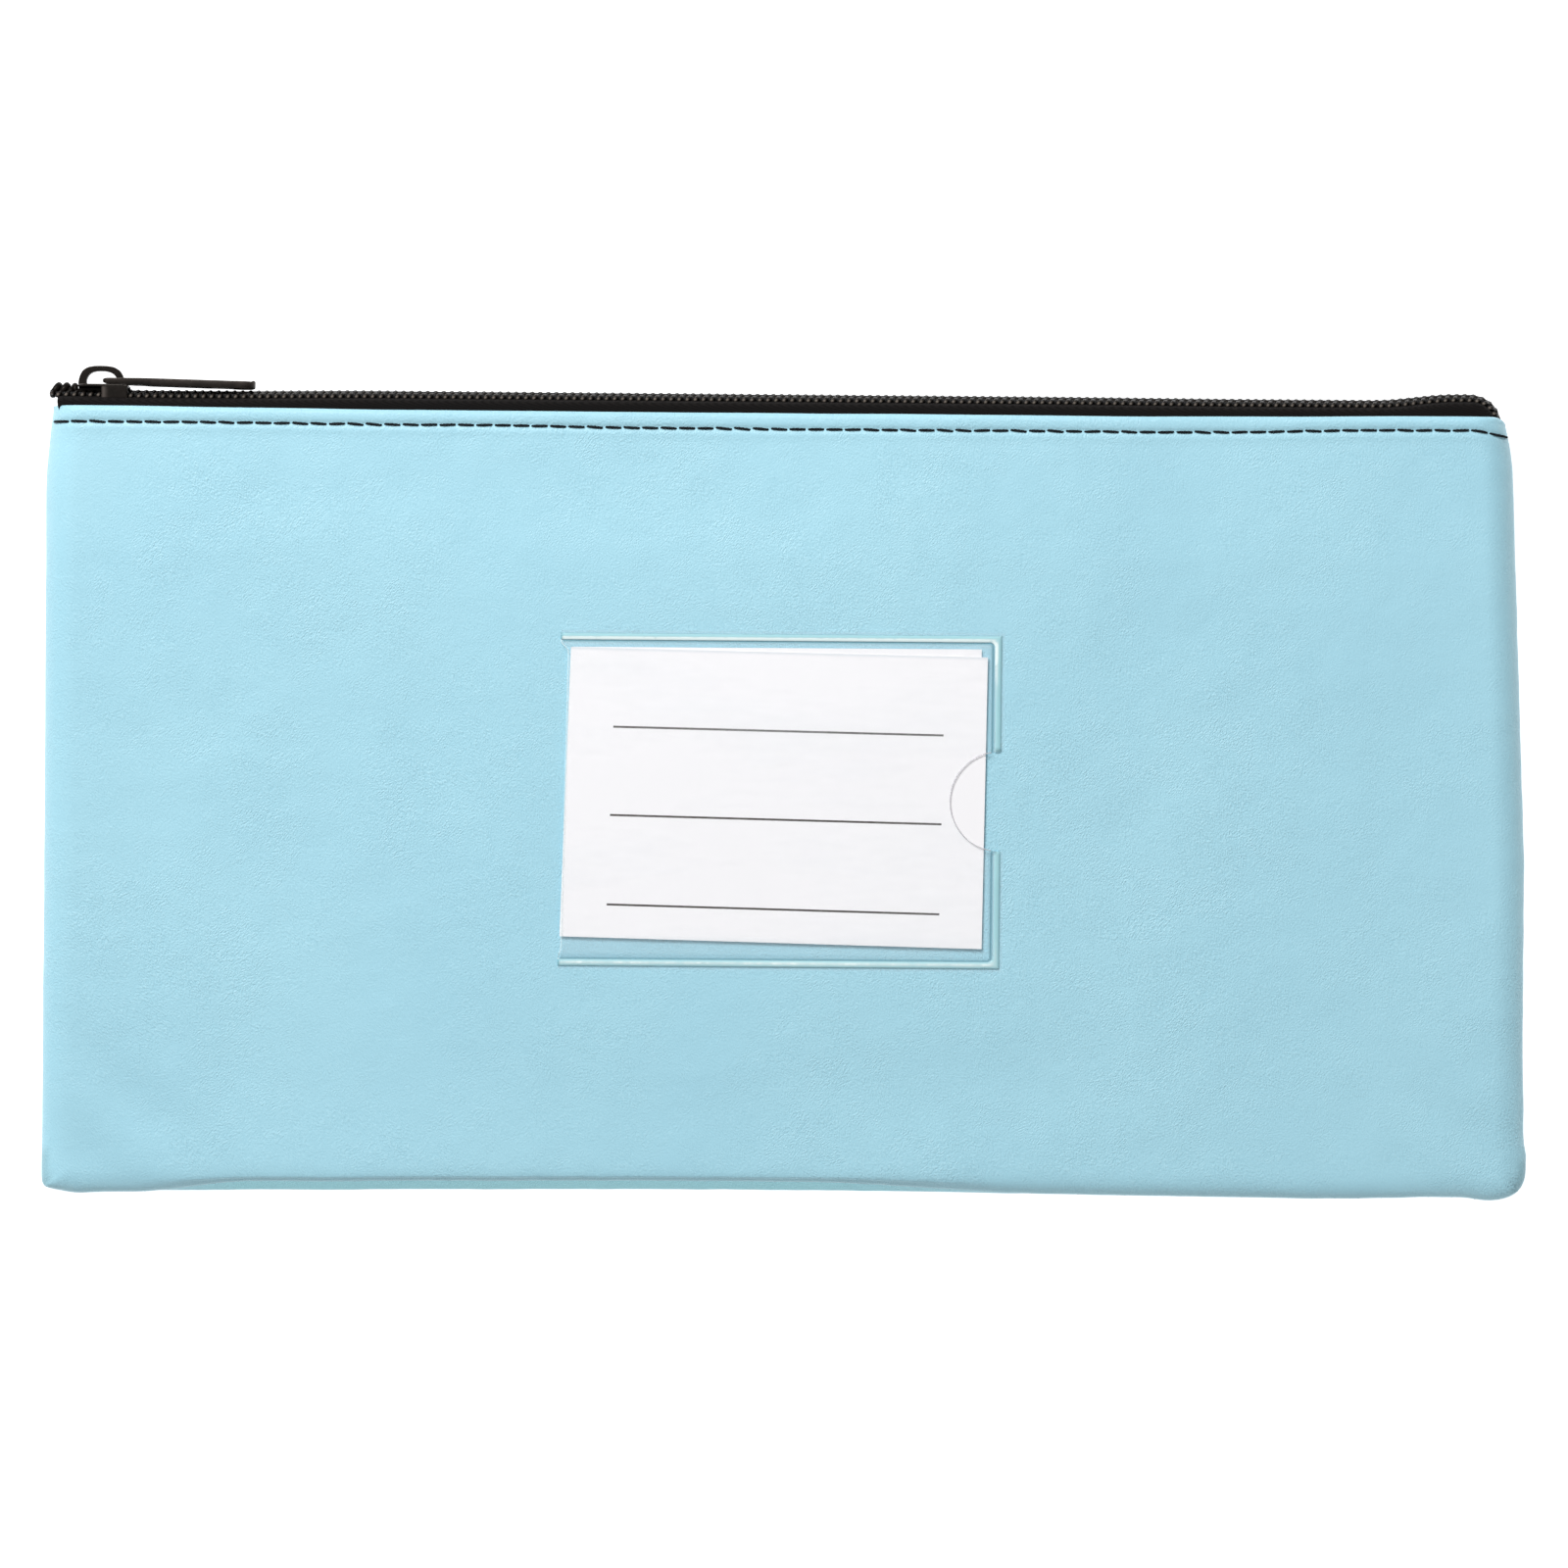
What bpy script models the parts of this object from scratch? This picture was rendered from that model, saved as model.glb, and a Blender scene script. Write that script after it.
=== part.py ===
"""Zipped cash deposit bag, empty and closed, lying on its back.

+X runs along the zip, +Y from the bottom edge to the zip, +Z out of the front.
The origin is the middle of the flat back face. Everything is in metres.
"""

import math
from collections import namedtuple

import bmesh
import bpy
from mathutils import Matrix, Vector

MM = 0.001

# Bag body
BAG_WIDTH = 279.4 * MM  # 11 in across the bottom
BODY_HEIGHT = 147.4 * MM  # from the bottom edge to the hem's fold
SIDE_LEAN = 2.8 * MM  # the right edge comes in this much from bottom to top
CORNER_PULL = 1.5 * MM  # and both edges come in this much more at the zip's ends
CORNER_PULL_HEIGHT = 14 * MM
BOTTOM_ARCH = 0.9 * MM  # the bottom edge rises this much at its middle
LEATHER = 0.9 * MM
HALF_DEPTH_BOTTOM = 5.0 * MM
HALF_DEPTH_TOP = 8.5 * MM
HEM_LIFT = 0.85 * MM  # the hem stands this far back from the bag's face, clear of the ground
HEM_LIFT_START = 46 * MM
EDGE_ROLL = 6.0 * MM  # width of the rounded edge beside each seam
LEFT_CORNER_POWER = 3.4  # 2 is a quarter circle, more is squarer
RIGHT_CORNER_POWER = 2.2

# Seams and hems
SEAM_GAP = 0.3 * MM
SEAM_BEND = 1.2 * MM
SEAM_ALLOWANCE = 5.7 * MM
SEAM_TOP = 69.0 * MM  # height at which the side allowances stop, below the zip's ends
HEM_BEND = 1.1 * MM
HEM_DEPTH = 9.0 * MM
THREAD_RADIUS = 0.25 * MM
TOUCH = 0.3 * MM  # gap kept between pieces that touch

# Zip chain. Heights are along Y, and widths run out from the zip's centre line along Z.
COIL_CENTRE_HEIGHT = 75.65 * MM
COIL_HALF_HEIGHT = 0.95 * MM
COIL_INNER = 0.5 * MM
COIL_OUTER = 3.0 * MM
COIL_WALL = 0.5 * MM
CORD_RADIUS = 0.2 * MM
TAPE = 0.45 * MM
TAPE_BEND_START = 4.35 * MM
TAPE_BEND = 0.6 * MM
TAPE_FOOT_HEIGHT = 61.0 * MM
COIL_THREAD_RADIUS = 0.15 * MM
ARCH_START = 112.7 * MM
ARCH_TOP = 127.0 * MM
ARCH_RISE = 0.7 * MM
RIGHT_TURN_CENTRE = 129.65 * MM
RIGHT_TURN_RADIUS = 3.2 * MM
RIGHT_END_HEIGHT = 71.2 * MM
LEFT_RISE_START = -133.7 * MM
LEFT_RISE = 0.6 * MM
LEFT_TURN_CENTRE = -136.0 * MM
LEFT_TURN_RADIUS = 2.2 * MM
LEFT_TURN_DEG = 78

# Slider and pull
SLIDER_LEFT = -133.5 * MM
SLIDER_RIGHT = -124.1 * MM
SLIDER_SHOULDER_HALF = 4.0 * MM
SLIDER_TAIL_HALF = 3.9 * MM
SLIDER_PLATE = 0.85 * MM
SLIDER_CLEARANCE = 0.2 * MM
FLANGE_LENGTH = 4.7 * MM
FLANGE_THICKNESS = 0.6 * MM
NECK_LENGTH = 3.0 * MM
NECK_THICKNESS = 0.5 * MM
BAIL_HEIGHT = 3.6 * MM
BAIL_WIDTH = 2.4 * MM
BAIL_LEFT = -133.4 * MM
BAIL_RIGHT = -125.1 * MM
BAIL_LEFT_LEG = 1.5 * MM
BAIL_RIGHT_LEG = 1.1 * MM
BAIL_TOP_THICKNESS = 1.0 * MM
PULL_AXIS_X = -128.3 * MM
PULL_AXIS_HEIGHT = 78.45 * MM
PULL_LENGTH = 28.6 * MM
PULL_WIDTH = 5.4 * MM
PULL_NECK_WIDTH = 5.0 * MM
PULL_THICKNESS = 1.0 * MM
PULL_BAR = 1.0 * MM
PULL_EYE_LENGTH = 5.4 * MM
PULL_EYE_WIDTH = 3.0 * MM
PULL_HOLE_RADIUS = 1.5 * MM
PULL_REST_TILT = math.radians(1.05)

# Label window and its card
WINDOW_CENTRE = (-0.6 * MM, 0.0)
WINDOW_SIZE = (82.8 * MM, 62.6 * MM)
WINDOW_LEFT_LEAN = 0.6 * MM
WELD_WIDTH = 1.4 * MM
FILM = 0.35 * MM
NOTCH_RADIUS = 9.2 * MM
NOTCH_CENTRE_Y = 0.4 * MM
CARD_SIZE = (78.4 * MM, 54.6 * MM)
CARD_CENTRE = (-1.7 * MM, 0.65 * MM)
CARD_TURN = math.radians(-1.3)
CARD = 0.25 * MM

HEM_Y = BODY_HEIGHT / 2
BOTTOM_Y = -BODY_HEIGHT / 2
LEFT_X = -BAG_WIDTH / 2
RIGHT_X = BAG_WIDTH / 2
ZIP_Z = HALF_DEPTH_TOP
TAPE_DROP = COIL_HALF_HEIGHT + TOUCH + TAPE / 2  # coil centre line to the middle of the tape

Station = namedtuple("Station", "side inset base rise")
Row = namedtuple("Row", "kind station value")


# Scene and materials


def clear_scene():
    for item in list(bpy.data.objects):
        bpy.data.objects.remove(item, do_unlink=True)


def make_collection(name):
    collection = bpy.data.collections.new(name)
    bpy.context.scene.collection.children.link(collection)
    return collection


def material(name, colour, roughness, metallic=0.0):
    made = bpy.data.materials.new(name)
    made.use_nodes = True
    shader = made.node_tree.nodes["Principled BSDF"]
    shader.inputs["Base Color"].default_value = (*colour, 1.0)
    shader.inputs["Roughness"].default_value = roughness
    shader.inputs["Metallic"].default_value = metallic
    return made


clear_scene()
BAG = make_collection("cash_deposit_bag")
HELPERS = make_collection("helpers")
BLUE_LEATHERETTE = material("blue_leatherette", (0.44, 0.73, 0.84), 0.5)
BLACK_TEXTILE = material("black_textile", (0.02, 0.02, 0.022), 0.8)
BLACK_NYLON = material("black_nylon", (0.025, 0.024, 0.024), 0.35)
BLACK_METAL = material("black_metal", (0.05, 0.045, 0.042), 0.4, 0.7)
CLEAR_FILM = material("clear_film", (0.8, 0.93, 0.96), 0.1)
WHITE_CARD = material("white_card", (0.95, 0.95, 0.97), 0.6)


# Building helpers


def add_object(name, data, collection, surface=None):
    made = bpy.data.objects.new(name, data)
    collection.objects.link(made)
    if surface is not None:
        made.data.materials.append(surface)
    if collection is HELPERS:
        made.hide_render = True
        made.display_type = "WIRE"
    return made


def shade_smooth(made, angle_deg=35):
    made.data.shade_smooth()
    made.data.set_sharp_from_angle(angle=math.radians(angle_deg))
    return made


def sheet(name, columns, rows, place, keep, thickness, surface, inside_out=False):
    """A grid of leather, tape or coil wall: place() puts each point on its outer face, keep() drops cells."""
    bm = bmesh.new()
    across, along = len(columns) - 1, len(rows) - 1
    bmesh.ops.create_grid(bm, x_segments=across, y_segments=along, size=0.5)
    dropped = []
    for face in bm.faces:
        centre = face.calc_center_median()
        i, j = int((centre.x + 0.5) * across), int((centre.y + 0.5) * along)
        if not keep(columns[i : i + 2], rows[j : j + 2]):
            dropped.append(face)
    for vertex in bm.verts:
        i, j = round((vertex.co.x + 0.5) * across), round((vertex.co.y + 0.5) * along)
        vertex.co = place(columns[i], rows[j])
    bmesh.ops.delete(bm, geom=dropped, context="FACES")
    bmesh.ops.remove_doubles(bm, verts=bm.verts, dist=1e-6)
    if inside_out:
        bmesh.ops.reverse_faces(bm, faces=bm.faces)
    mesh = bpy.data.meshes.new(name)
    bm.to_mesh(mesh)
    bm.free()
    made = shade_smooth(add_object(name, mesh, BAG, surface))
    wall = made.modifiers.new("wall", "SOLIDIFY")
    wall.thickness = thickness
    wall.offset = -1
    wall.use_even_offset = True
    wall.use_quality_normals = True
    return made


def box(name, low, high, collection=HELPERS):
    bm = bmesh.new()
    low, high = Vector(low), Vector(high)
    to_place = Matrix.Translation((low + high) / 2) @ Matrix.Diagonal((*(high - low), 1))
    bmesh.ops.create_cube(bm, size=1, matrix=to_place)
    mesh = bpy.data.meshes.new(name)
    bm.to_mesh(mesh)
    bm.free()
    return add_object(name, mesh, collection)


def cylinder(name, centre, radius, length, axis):
    """A cutter along X, Y or Z."""
    turn = Vector((0, 0, 1)).rotation_difference(Vector(axis)).to_matrix().to_4x4()
    bm = bmesh.new()
    bmesh.ops.create_cone(
        bm, cap_ends=True, segments=48, radius1=radius, radius2=radius, depth=length,
        matrix=Matrix.Translation(centre) @ turn,
    )
    mesh = bpy.data.meshes.new(name)
    bm.to_mesh(mesh)
    bm.free()
    return add_object(name, mesh, HELPERS)


def rounded(corners, radii, steps=6):
    """The closed outline through corners, in order anticlockwise, each rounded by its own radius."""
    points = []
    count = len(corners)
    for i, (corner, radius) in enumerate(zip(corners, radii)):
        corner = Vector(corner)
        before = (Vector(corners[i - 1]) - corner).normalized()
        after = (Vector(corners[(i + 1) % count]) - corner).normalized()
        half = before.angle(after) / 2
        centre = corner + (before + after).normalized() * radius / math.sin(half)
        start = corner + before * radius / math.tan(half) - centre
        sweep = math.pi - 2 * half
        for step in range(steps + 1):
            turned = Matrix.Rotation(sweep * step / steps, 2) @ start
            points.append(centre + turned)
    return points


def plate(name, outlines, thickness, collection, surface=None):
    """Flat outlines in XY, holes included, extruded by half the thickness each way, as a welded mesh."""
    curve = bpy.data.curves.new(name, "CURVE")
    curve.dimensions = "2D"
    curve.fill_mode = "BOTH"
    curve.extrude = thickness / 2
    for outline in outlines:
        spline = curve.splines.new("POLY")
        spline.points.add(len(outline) - 1)
        for point, (x, y) in zip(spline.points, outline):
            point.co = (x, y, 0, 1)
        spline.use_cyclic_u = True
    drawn = bpy.data.objects.new(name + "_outline", curve)
    bpy.context.scene.collection.objects.link(drawn)
    graph = bpy.context.evaluated_depsgraph_get()
    mesh = bpy.data.meshes.new_from_object(drawn.evaluated_get(graph))
    bpy.data.objects.remove(drawn)
    bm = bmesh.new()
    bm.from_mesh(mesh)
    bmesh.ops.remove_doubles(bm, verts=bm.verts, dist=1e-6)
    bmesh.ops.recalc_face_normals(bm, faces=bm.faces)
    bm.to_mesh(mesh)
    bm.free()
    return add_object(name, mesh, collection, surface)


def tube(name, points, radius, surface, resolution=1):
    """A round thread or cord through points."""
    curve = bpy.data.curves.new(name, "CURVE")
    curve.dimensions = "3D"
    curve.bevel_depth = radius
    curve.bevel_resolution = resolution
    curve.use_fill_caps = True
    spline = curve.splines.new("POLY")
    spline.points.add(len(points) - 1)
    for point, place in zip(spline.points, points):
        point.co = (*place, 1)
    return add_object(name, curve, BAG, surface)


def boolean(target, other, operation):
    step = target.modifiers.new(other.name, "BOOLEAN")
    step.object = other
    step.operation = operation
    step.solver = "EXACT"


def mix(a, b, share):
    return a + (b - a) * share


def spread(a, b, count):
    return [mix(a, b, k / count) for k in range(count + 1)]


# Shape of the bag body


def height_share(y):
    return (y - BOTTOM_Y) / BODY_HEIGHT


def half_depth(y):
    """Half the bag's depth, and also the height of its middle plane, since the back lies at z = 0."""
    return mix(HALF_DEPTH_BOTTOM, HALF_DEPTH_TOP, height_share(y))


def panel_depth(y):
    """From the middle plane out to a panel's face."""
    share = max(0.0, (y - HEM_LIFT_START) / (SEAM_TOP - HEM_LIFT_START))
    return half_depth(y) - HEM_LIFT * min(1.0, share)


def corner_pull(y):
    share = max(0.0, (y - HEM_Y + CORNER_PULL_HEIGHT) / CORNER_PULL_HEIGHT)
    return CORNER_PULL * share * share


def left_edge(y):
    return LEFT_X + corner_pull(y)


def right_edge(y):
    return RIGHT_X - SIDE_LEAN * height_share(y) - corner_pull(y)


def bottom_edge(x):
    return BOTTOM_Y + BOTTOM_ARCH * math.cos(math.pi * x / BAG_WIDTH) ** 2


def edge_stations(side):
    """From the allowance's raw edge, round the seam's bend and up the rolled edge to full height."""
    seam = SEAM_GAP / 2
    shoulder = seam + SEAM_BEND
    made = [Station(side, SEAM_ALLOWANCE, seam, 0.0)]
    for angle in spread(0, math.pi / 2, 2)[:-1]:
        inset = SEAM_BEND * (1 - math.sin(angle))
        made.append(Station(side, inset, shoulder - SEAM_BEND * math.cos(angle), 0.0))
    for angle in spread(0, math.pi / 2, 5):
        made.append(Station(side, EDGE_ROLL * (1 - math.cos(angle)), shoulder, math.sin(angle)))
    return made


SHOULDER = SEAM_GAP / 2 + SEAM_BEND
LEFT = edge_stations("left")
RIGHT = edge_stations("right")[::-1]
BOTTOM = edge_stations("bottom")
COLUMNS = LEFT + [Station("middle", share, SHOULDER, 1.0) for share in spread(0, 1, 12)[1:-1]] + RIGHT
ROWS = (
    [Row("edge", station, 0.0) for station in BOTTOM]
    + [Row("body", None, y) for y in spread(BOTTOM_Y + EDGE_ROLL, SEAM_TOP, 6)[1:]]
    + [Row("fold", None, angle) for angle in spread(0, math.pi, 4)]
    + [Row("flap", None, HEM_DEPTH)]
)


def is_under(station):
    """Part of the seam's bend or allowance, which faces the other panel."""
    return station.base < SHOULDER - 1e-9


def is_allowance(station):
    return station.inset > SEAM_BEND + 1e-9 and station.base < SHOULDER - 1e-9


def on_roll(station):
    return station.side != "middle" and station.rise < 1 - 1e-9


def row_height(row):
    return row.value if row.kind == "body" else HEM_Y - HEM_BEND


def corner_insets(column, station):
    """Both insets of a point where two rolled edges meet, so that its rings turn the corner."""
    flat = [EDGE_ROLL if is_under(s) else EDGE_ROLL - s.inset for s in (column, station)]
    power = LEFT_CORNER_POWER if column.side == "left" else RIGHT_CORNER_POWER
    norm = (flat[0] ** power + flat[1] ** power) ** (1 / power)
    scale = max(flat) / norm if norm > 0 else 0.0
    under = max(s.inset if is_under(s) else 0.0 for s in (column, station))
    scale *= 1 - under / EDGE_ROLL
    return [EDGE_ROLL - reach * scale for reach in flat]


def column_x(column, inset, y):
    left, right = left_edge(y), right_edge(y)
    if column.side == "left":
        return left + inset
    if column.side == "right":
        return right - inset
    return mix(left + EDGE_ROLL, right - EDGE_ROLL, column.inset)


def outward(column, y):
    """Unit normal of the outer face across the bag, as (x, depth)."""
    if not on_roll(column):
        return 0.0, 1.0
    cosine = math.sqrt(1 - column.rise**2)
    normal = Vector((cosine / EDGE_ROLL, column.rise / (panel_depth(y) - SHOULDER))).normalized()
    return (-normal.x if column.side == "left" else normal.x), normal.y


def panel_point(column, row, face):
    """A point of a panel's outer face. face is 1 for the front and -1 for the back."""
    if row.kind == "edge":
        corner = column.side != "middle"
        insets = corner_insets(column, row.station) if corner else [0.0, row.station.inset]
        x = column_x(column, insets[0], BOTTOM_Y)
        y = bottom_edge(x) + insets[1]
        outer = column if corner and column.rise < row.station.rise else row.station
        if corner and is_under(column):
            outer = column
        base, rise = outer.base, min(outer.rise, column.rise)
        return Vector((x, y, half_depth(y) + face * (base + rise * (half_depth(y) - SHOULDER))))
    y = row_height(row)
    x = column_x(column, column.inset, y)
    depth = column.base + column.rise * (panel_depth(y) - SHOULDER)
    if row.kind == "body":
        return Vector((x, y, half_depth(y) + face * depth))
    normal_x, normal_depth = outward(column, y)
    angle = row.value if row.kind == "fold" else math.pi
    inward = HEM_BEND * (1 - math.cos(angle))
    lift = HEM_BEND * math.sin(angle) if row.kind == "fold" else -row.value
    depth -= inward * normal_depth
    return Vector((x - inward * normal_x, y + lift, half_depth(y) + face * depth))


def panel_keeps(columns, rows):
    """Allowances stop short of the corners, and the hem's flap stops where the side edges roll."""
    under_column = any(is_under(c) for c in columns)
    allowance_column = any(is_allowance(c) for c in columns)
    rolled_column = any(on_roll(c) for c in columns)
    if all(r.kind in ("edge", "body") for r in rows) and rows[0].kind == "edge":
        under_row = any(r.station is not None and is_under(r.station) for r in rows)
        allowance_row = any(r.station is not None and is_allowance(r.station) for r in rows)
        in_corner = rows[1].kind == "edge"
        if under_column and under_row:
            return False
        return not (allowance_column and in_corner) and not (allowance_row and rolled_column)
    if rows[1].kind == "body":
        return True
    if rows[1].kind == "fold" and rows[0].kind == "body":
        return not allowance_column
    if under_column:
        return False
    past_top = rows[1].kind == "flap" or rows[1].value > math.pi / 2 + 1e-9
    return not (past_top and rolled_column)


def make_panel(name, face):
    def place(column, row):
        return panel_point(column, row, face)

    return sheet(name, COLUMNS, ROWS, place, panel_keeps, LEATHER, BLUE_LEATHERETTE, face < 0)


# Zip


def chain_path():
    """Centre line of the coils seen along Z, from the left end to the right, as (x, y, angle of travel)."""
    path = []
    top = COIL_CENTRE_HEIGHT + LEFT_RISE
    for step in range(6, 0, -1):
        angle = math.radians(LEFT_TURN_DEG) * step / 6
        x = LEFT_TURN_CENTRE - LEFT_TURN_RADIUS * math.sin(angle)
        path.append((x, top - LEFT_TURN_RADIUS * (1 - math.cos(angle)), angle))
    for share in spread(0, 1, 4):
        x = mix(LEFT_TURN_CENTRE, LEFT_RISE_START, share)
        path.append((x, COIL_CENTRE_HEIGHT + LEFT_RISE * ease(1 - share), 0.0))
    for share in spread(0, 1, 6):
        x = mix(ARCH_START, ARCH_TOP, share)
        path.append((x, COIL_CENTRE_HEIGHT + ARCH_RISE * ease(share), 0.0))
    top = COIL_CENTRE_HEIGHT + ARCH_RISE
    for angle in spread(0, math.pi / 2, 6):
        x = RIGHT_TURN_CENTRE + RIGHT_TURN_RADIUS * math.sin(angle)
        path.append((x, top - RIGHT_TURN_RADIUS * (1 - math.cos(angle)), -angle))
    path.append((path[-1][0], RIGHT_END_HEIGHT, -math.pi / 2))
    return path


def ease(share):
    return share * share * (3 - 2 * share)


CHAIN = chain_path()


def beside_chain(station, width, height, face):
    """A point at a distance from the chain's centre line: width along Z, height square to the line."""
    x, y, angle = station
    return Vector((x - height * math.sin(angle), y + height * math.cos(angle), ZIP_Z + face * width))


def make_coil(name, face):
    """The coil's turns as one oval tube, open at both ends, with its cord inside."""
    middle, reach = (COIL_INNER + COIL_OUTER) / 2, (COIL_OUTER - COIL_INNER) / 2
    loop = spread(0, 2 * math.pi, 12)

    def place(angle, station):
        width = middle + reach * math.copysign(abs(math.cos(angle)) ** 0.6, math.cos(angle))
        height = COIL_HALF_HEIGHT * math.copysign(abs(math.sin(angle)) ** 0.6, math.sin(angle))
        return beside_chain(station, width, height, face)

    return sheet(name, loop, CHAIN, place, lambda *_: True, COIL_WALL, BLACK_NYLON, face > 0)


def make_coil_cord(name, face):
    middle = (COIL_INNER + COIL_OUTER) / 2
    points = [beside_chain(station, middle, 0, face) for station in CHAIN]
    return tube(name, points, CORD_RADIUS, BLACK_TEXTILE)


def make_tape(name, face):
    """Flat under the coil, then bent down into the bag beside the slider's path."""
    bend_end = TAPE_BEND_START + TAPE_BEND
    foot = COIL_CENTRE_HEIGHT - TAPE_DROP - TAPE_FOOT_HEIGHT
    section = [(COIL_INNER, 0.0), (COIL_OUTER, 0.0)]
    section += [
        (TAPE_BEND_START + TAPE_BEND * math.sin(a), TAPE_BEND * (1 - math.cos(a)))
        for a in spread(0, math.pi / 2, 3)
    ]
    section += [(bend_end, 4 * MM), (bend_end, foot)]
    leg_left, leg_right = LEFT_RISE_START, RIGHT_TURN_CENTRE

    def place(spot, station):
        width, drop = spot
        flat = beside_chain(station, width, TAPE / 2 - TAPE_DROP, face)
        if drop > TAPE_BEND:
            flat.y = mix(flat.y - TAPE_BEND, TAPE_FOOT_HEIGHT, (drop - TAPE_BEND) / (foot - TAPE_BEND))
        else:
            flat.y -= drop * math.cos(station[2])
            flat.x += drop * math.sin(station[2])
        return flat

    def keep(spots, stations):
        in_leg = spots[1][1] > TAPE_BEND
        return not in_leg or all(leg_left - 1e-9 <= s[0] <= leg_right + 1e-9 for s in stations)

    return sheet(name, section, CHAIN, place, keep, TAPE, BLACK_TEXTILE, face < 0)


def make_coil_thread(name, face):
    """Sewing that holds the coil down, on the tape's inner side."""
    height = -TAPE_DROP - TAPE / 2 - TOUCH - COIL_THREAD_RADIUS
    width = (COIL_INNER + COIL_OUTER) / 2
    straight = [s for s in CHAIN if LEFT_RISE_START - 1e-9 <= s[0] <= ARCH_START + 1e-9]
    points = [beside_chain(station, width, height, face) for station in straight]
    return tube(name, points, COIL_THREAD_RADIUS, BLACK_TEXTILE)


# Threads of the leatherwork


def hem_thread_points(face, y, depth_from_face, reach):
    """Along a hem at a depth outside the panel's face, over its flat and part of its rolled ends."""
    depth = panel_depth(y) + depth_from_face
    left, right = left_edge(y) + reach, right_edge(y) - reach
    return [Vector((x, y, half_depth(y) + face * depth)) for x in (left, right)]


def make_topstitch(name, face):
    y = HEM_Y - 3.1 * MM
    points = hem_thread_points(face, y, TOUCH + THREAD_RADIUS, EDGE_ROLL)
    return tube(name, points, THREAD_RADIUS, BLACK_TEXTILE)


def make_bobbin_thread(name, face):
    """The same row's second thread, on the tape's face inside the bag."""
    y = HEM_Y - 3.1 * MM
    tape_face = TAPE_BEND_START + TAPE_BEND - TAPE
    depth = tape_face - TOUCH - THREAD_RADIUS - panel_depth(y)
    points = hem_thread_points(face, y, depth, EDGE_ROLL + 2 * MM)
    return tube(name, points, THREAD_RADIUS, BLACK_TEXTILE)


def seam_point(x, y):
    """A point on the front allowance's inner face, where the seam's thread lies."""
    return Vector((x, y, half_depth(y) + SEAM_GAP / 2 + LEATHER + TOUCH + THREAD_RADIUS))


def make_seam_threads():
    inset = SEAM_BEND + 1.2 * MM
    low, high = BOTTOM_Y + EDGE_ROLL + 2 * MM, SEAM_TOP - 1 * MM
    for name, edge, inward in (("left_seam_thread", left_edge, 1), ("right_seam_thread", right_edge, -1)):
        points = [seam_point(edge(y) + inward * inset, y) for y in spread(low, high, 6)]
        tube(name, points, THREAD_RADIUS, BLUE_LEATHERETTE)
    ends = LEFT_X + EDGE_ROLL + 2 * MM, RIGHT_X - EDGE_ROLL - 2 * MM
    points = [seam_point(x, bottom_edge(x) + inset) for x in spread(*ends, 12)]
    tube("bottom_seam_thread", points, THREAD_RADIUS, BLUE_LEATHERETTE)


# Slider and pull


def lay_in_zip_plane(made):
    """Turns a piece drawn in XY so that its outline lies in XZ, on the zip's centre line."""
    made.data.transform(Matrix.Translation((0, 0, ZIP_Z)) @ Matrix.Rotation(math.pi / 2, 4, "X"))
    return made


def slider_outline():
    shoulder, tail = SLIDER_SHOULDER_HALF, SLIDER_TAIL_HALF
    corners = [
        (SLIDER_LEFT, -shoulder), (SLIDER_RIGHT, -tail), (SLIDER_RIGHT, tail), (SLIDER_LEFT, shoulder),
    ]
    return rounded(corners, [2.2 * MM, 1.2 * MM, 1.2 * MM, 2.2 * MM])


def make_bail():
    """The D-shaped bridge that the pull hangs on."""
    foot = PLATE_TOP - 0.3 * MM
    top = PLATE_TOP + BAIL_HEIGHT
    outer = rounded(
        [(BAIL_LEFT, foot), (BAIL_RIGHT, foot), (BAIL_RIGHT, top), (BAIL_LEFT, top)],
        [0.1 * MM, 0.1 * MM, 3.4 * MM, 2.6 * MM],
    )
    left, right = BAIL_LEFT + BAIL_LEFT_LEG, BAIL_RIGHT - BAIL_RIGHT_LEG
    roof = top - BAIL_TOP_THICKNESS
    sill = PLATE_TOP - 0.15 * MM
    hole = rounded(
        [(left, sill), (right, sill), (right, roof), (left, roof)],
        [0.1 * MM, 0.1 * MM, 2.4 * MM, 1.6 * MM],
    )
    bail = plate("bail", [outer, hole], BAIL_WIDTH, HELPERS)
    bail.data.transform(Matrix.Translation((0, 0, ZIP_Z)))
    return bail


COIL_TOP = COIL_CENTRE_HEIGHT + COIL_HALF_HEIGHT
PLATE_UNDERSIDE = COIL_TOP + SLIDER_CLEARANCE
PLATE_TOP = PLATE_UNDERSIDE + SLIDER_PLATE
TAPE_TOP = COIL_CENTRE_HEIGHT - TAPE_DROP + TAPE / 2
FLOOR_TOP = TAPE_TOP - TAPE - TOUCH - 2 * COIL_THREAD_RADIUS - SLIDER_CLEARANCE
FLOOR_UNDERSIDE = FLOOR_TOP - SLIDER_PLATE


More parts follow.
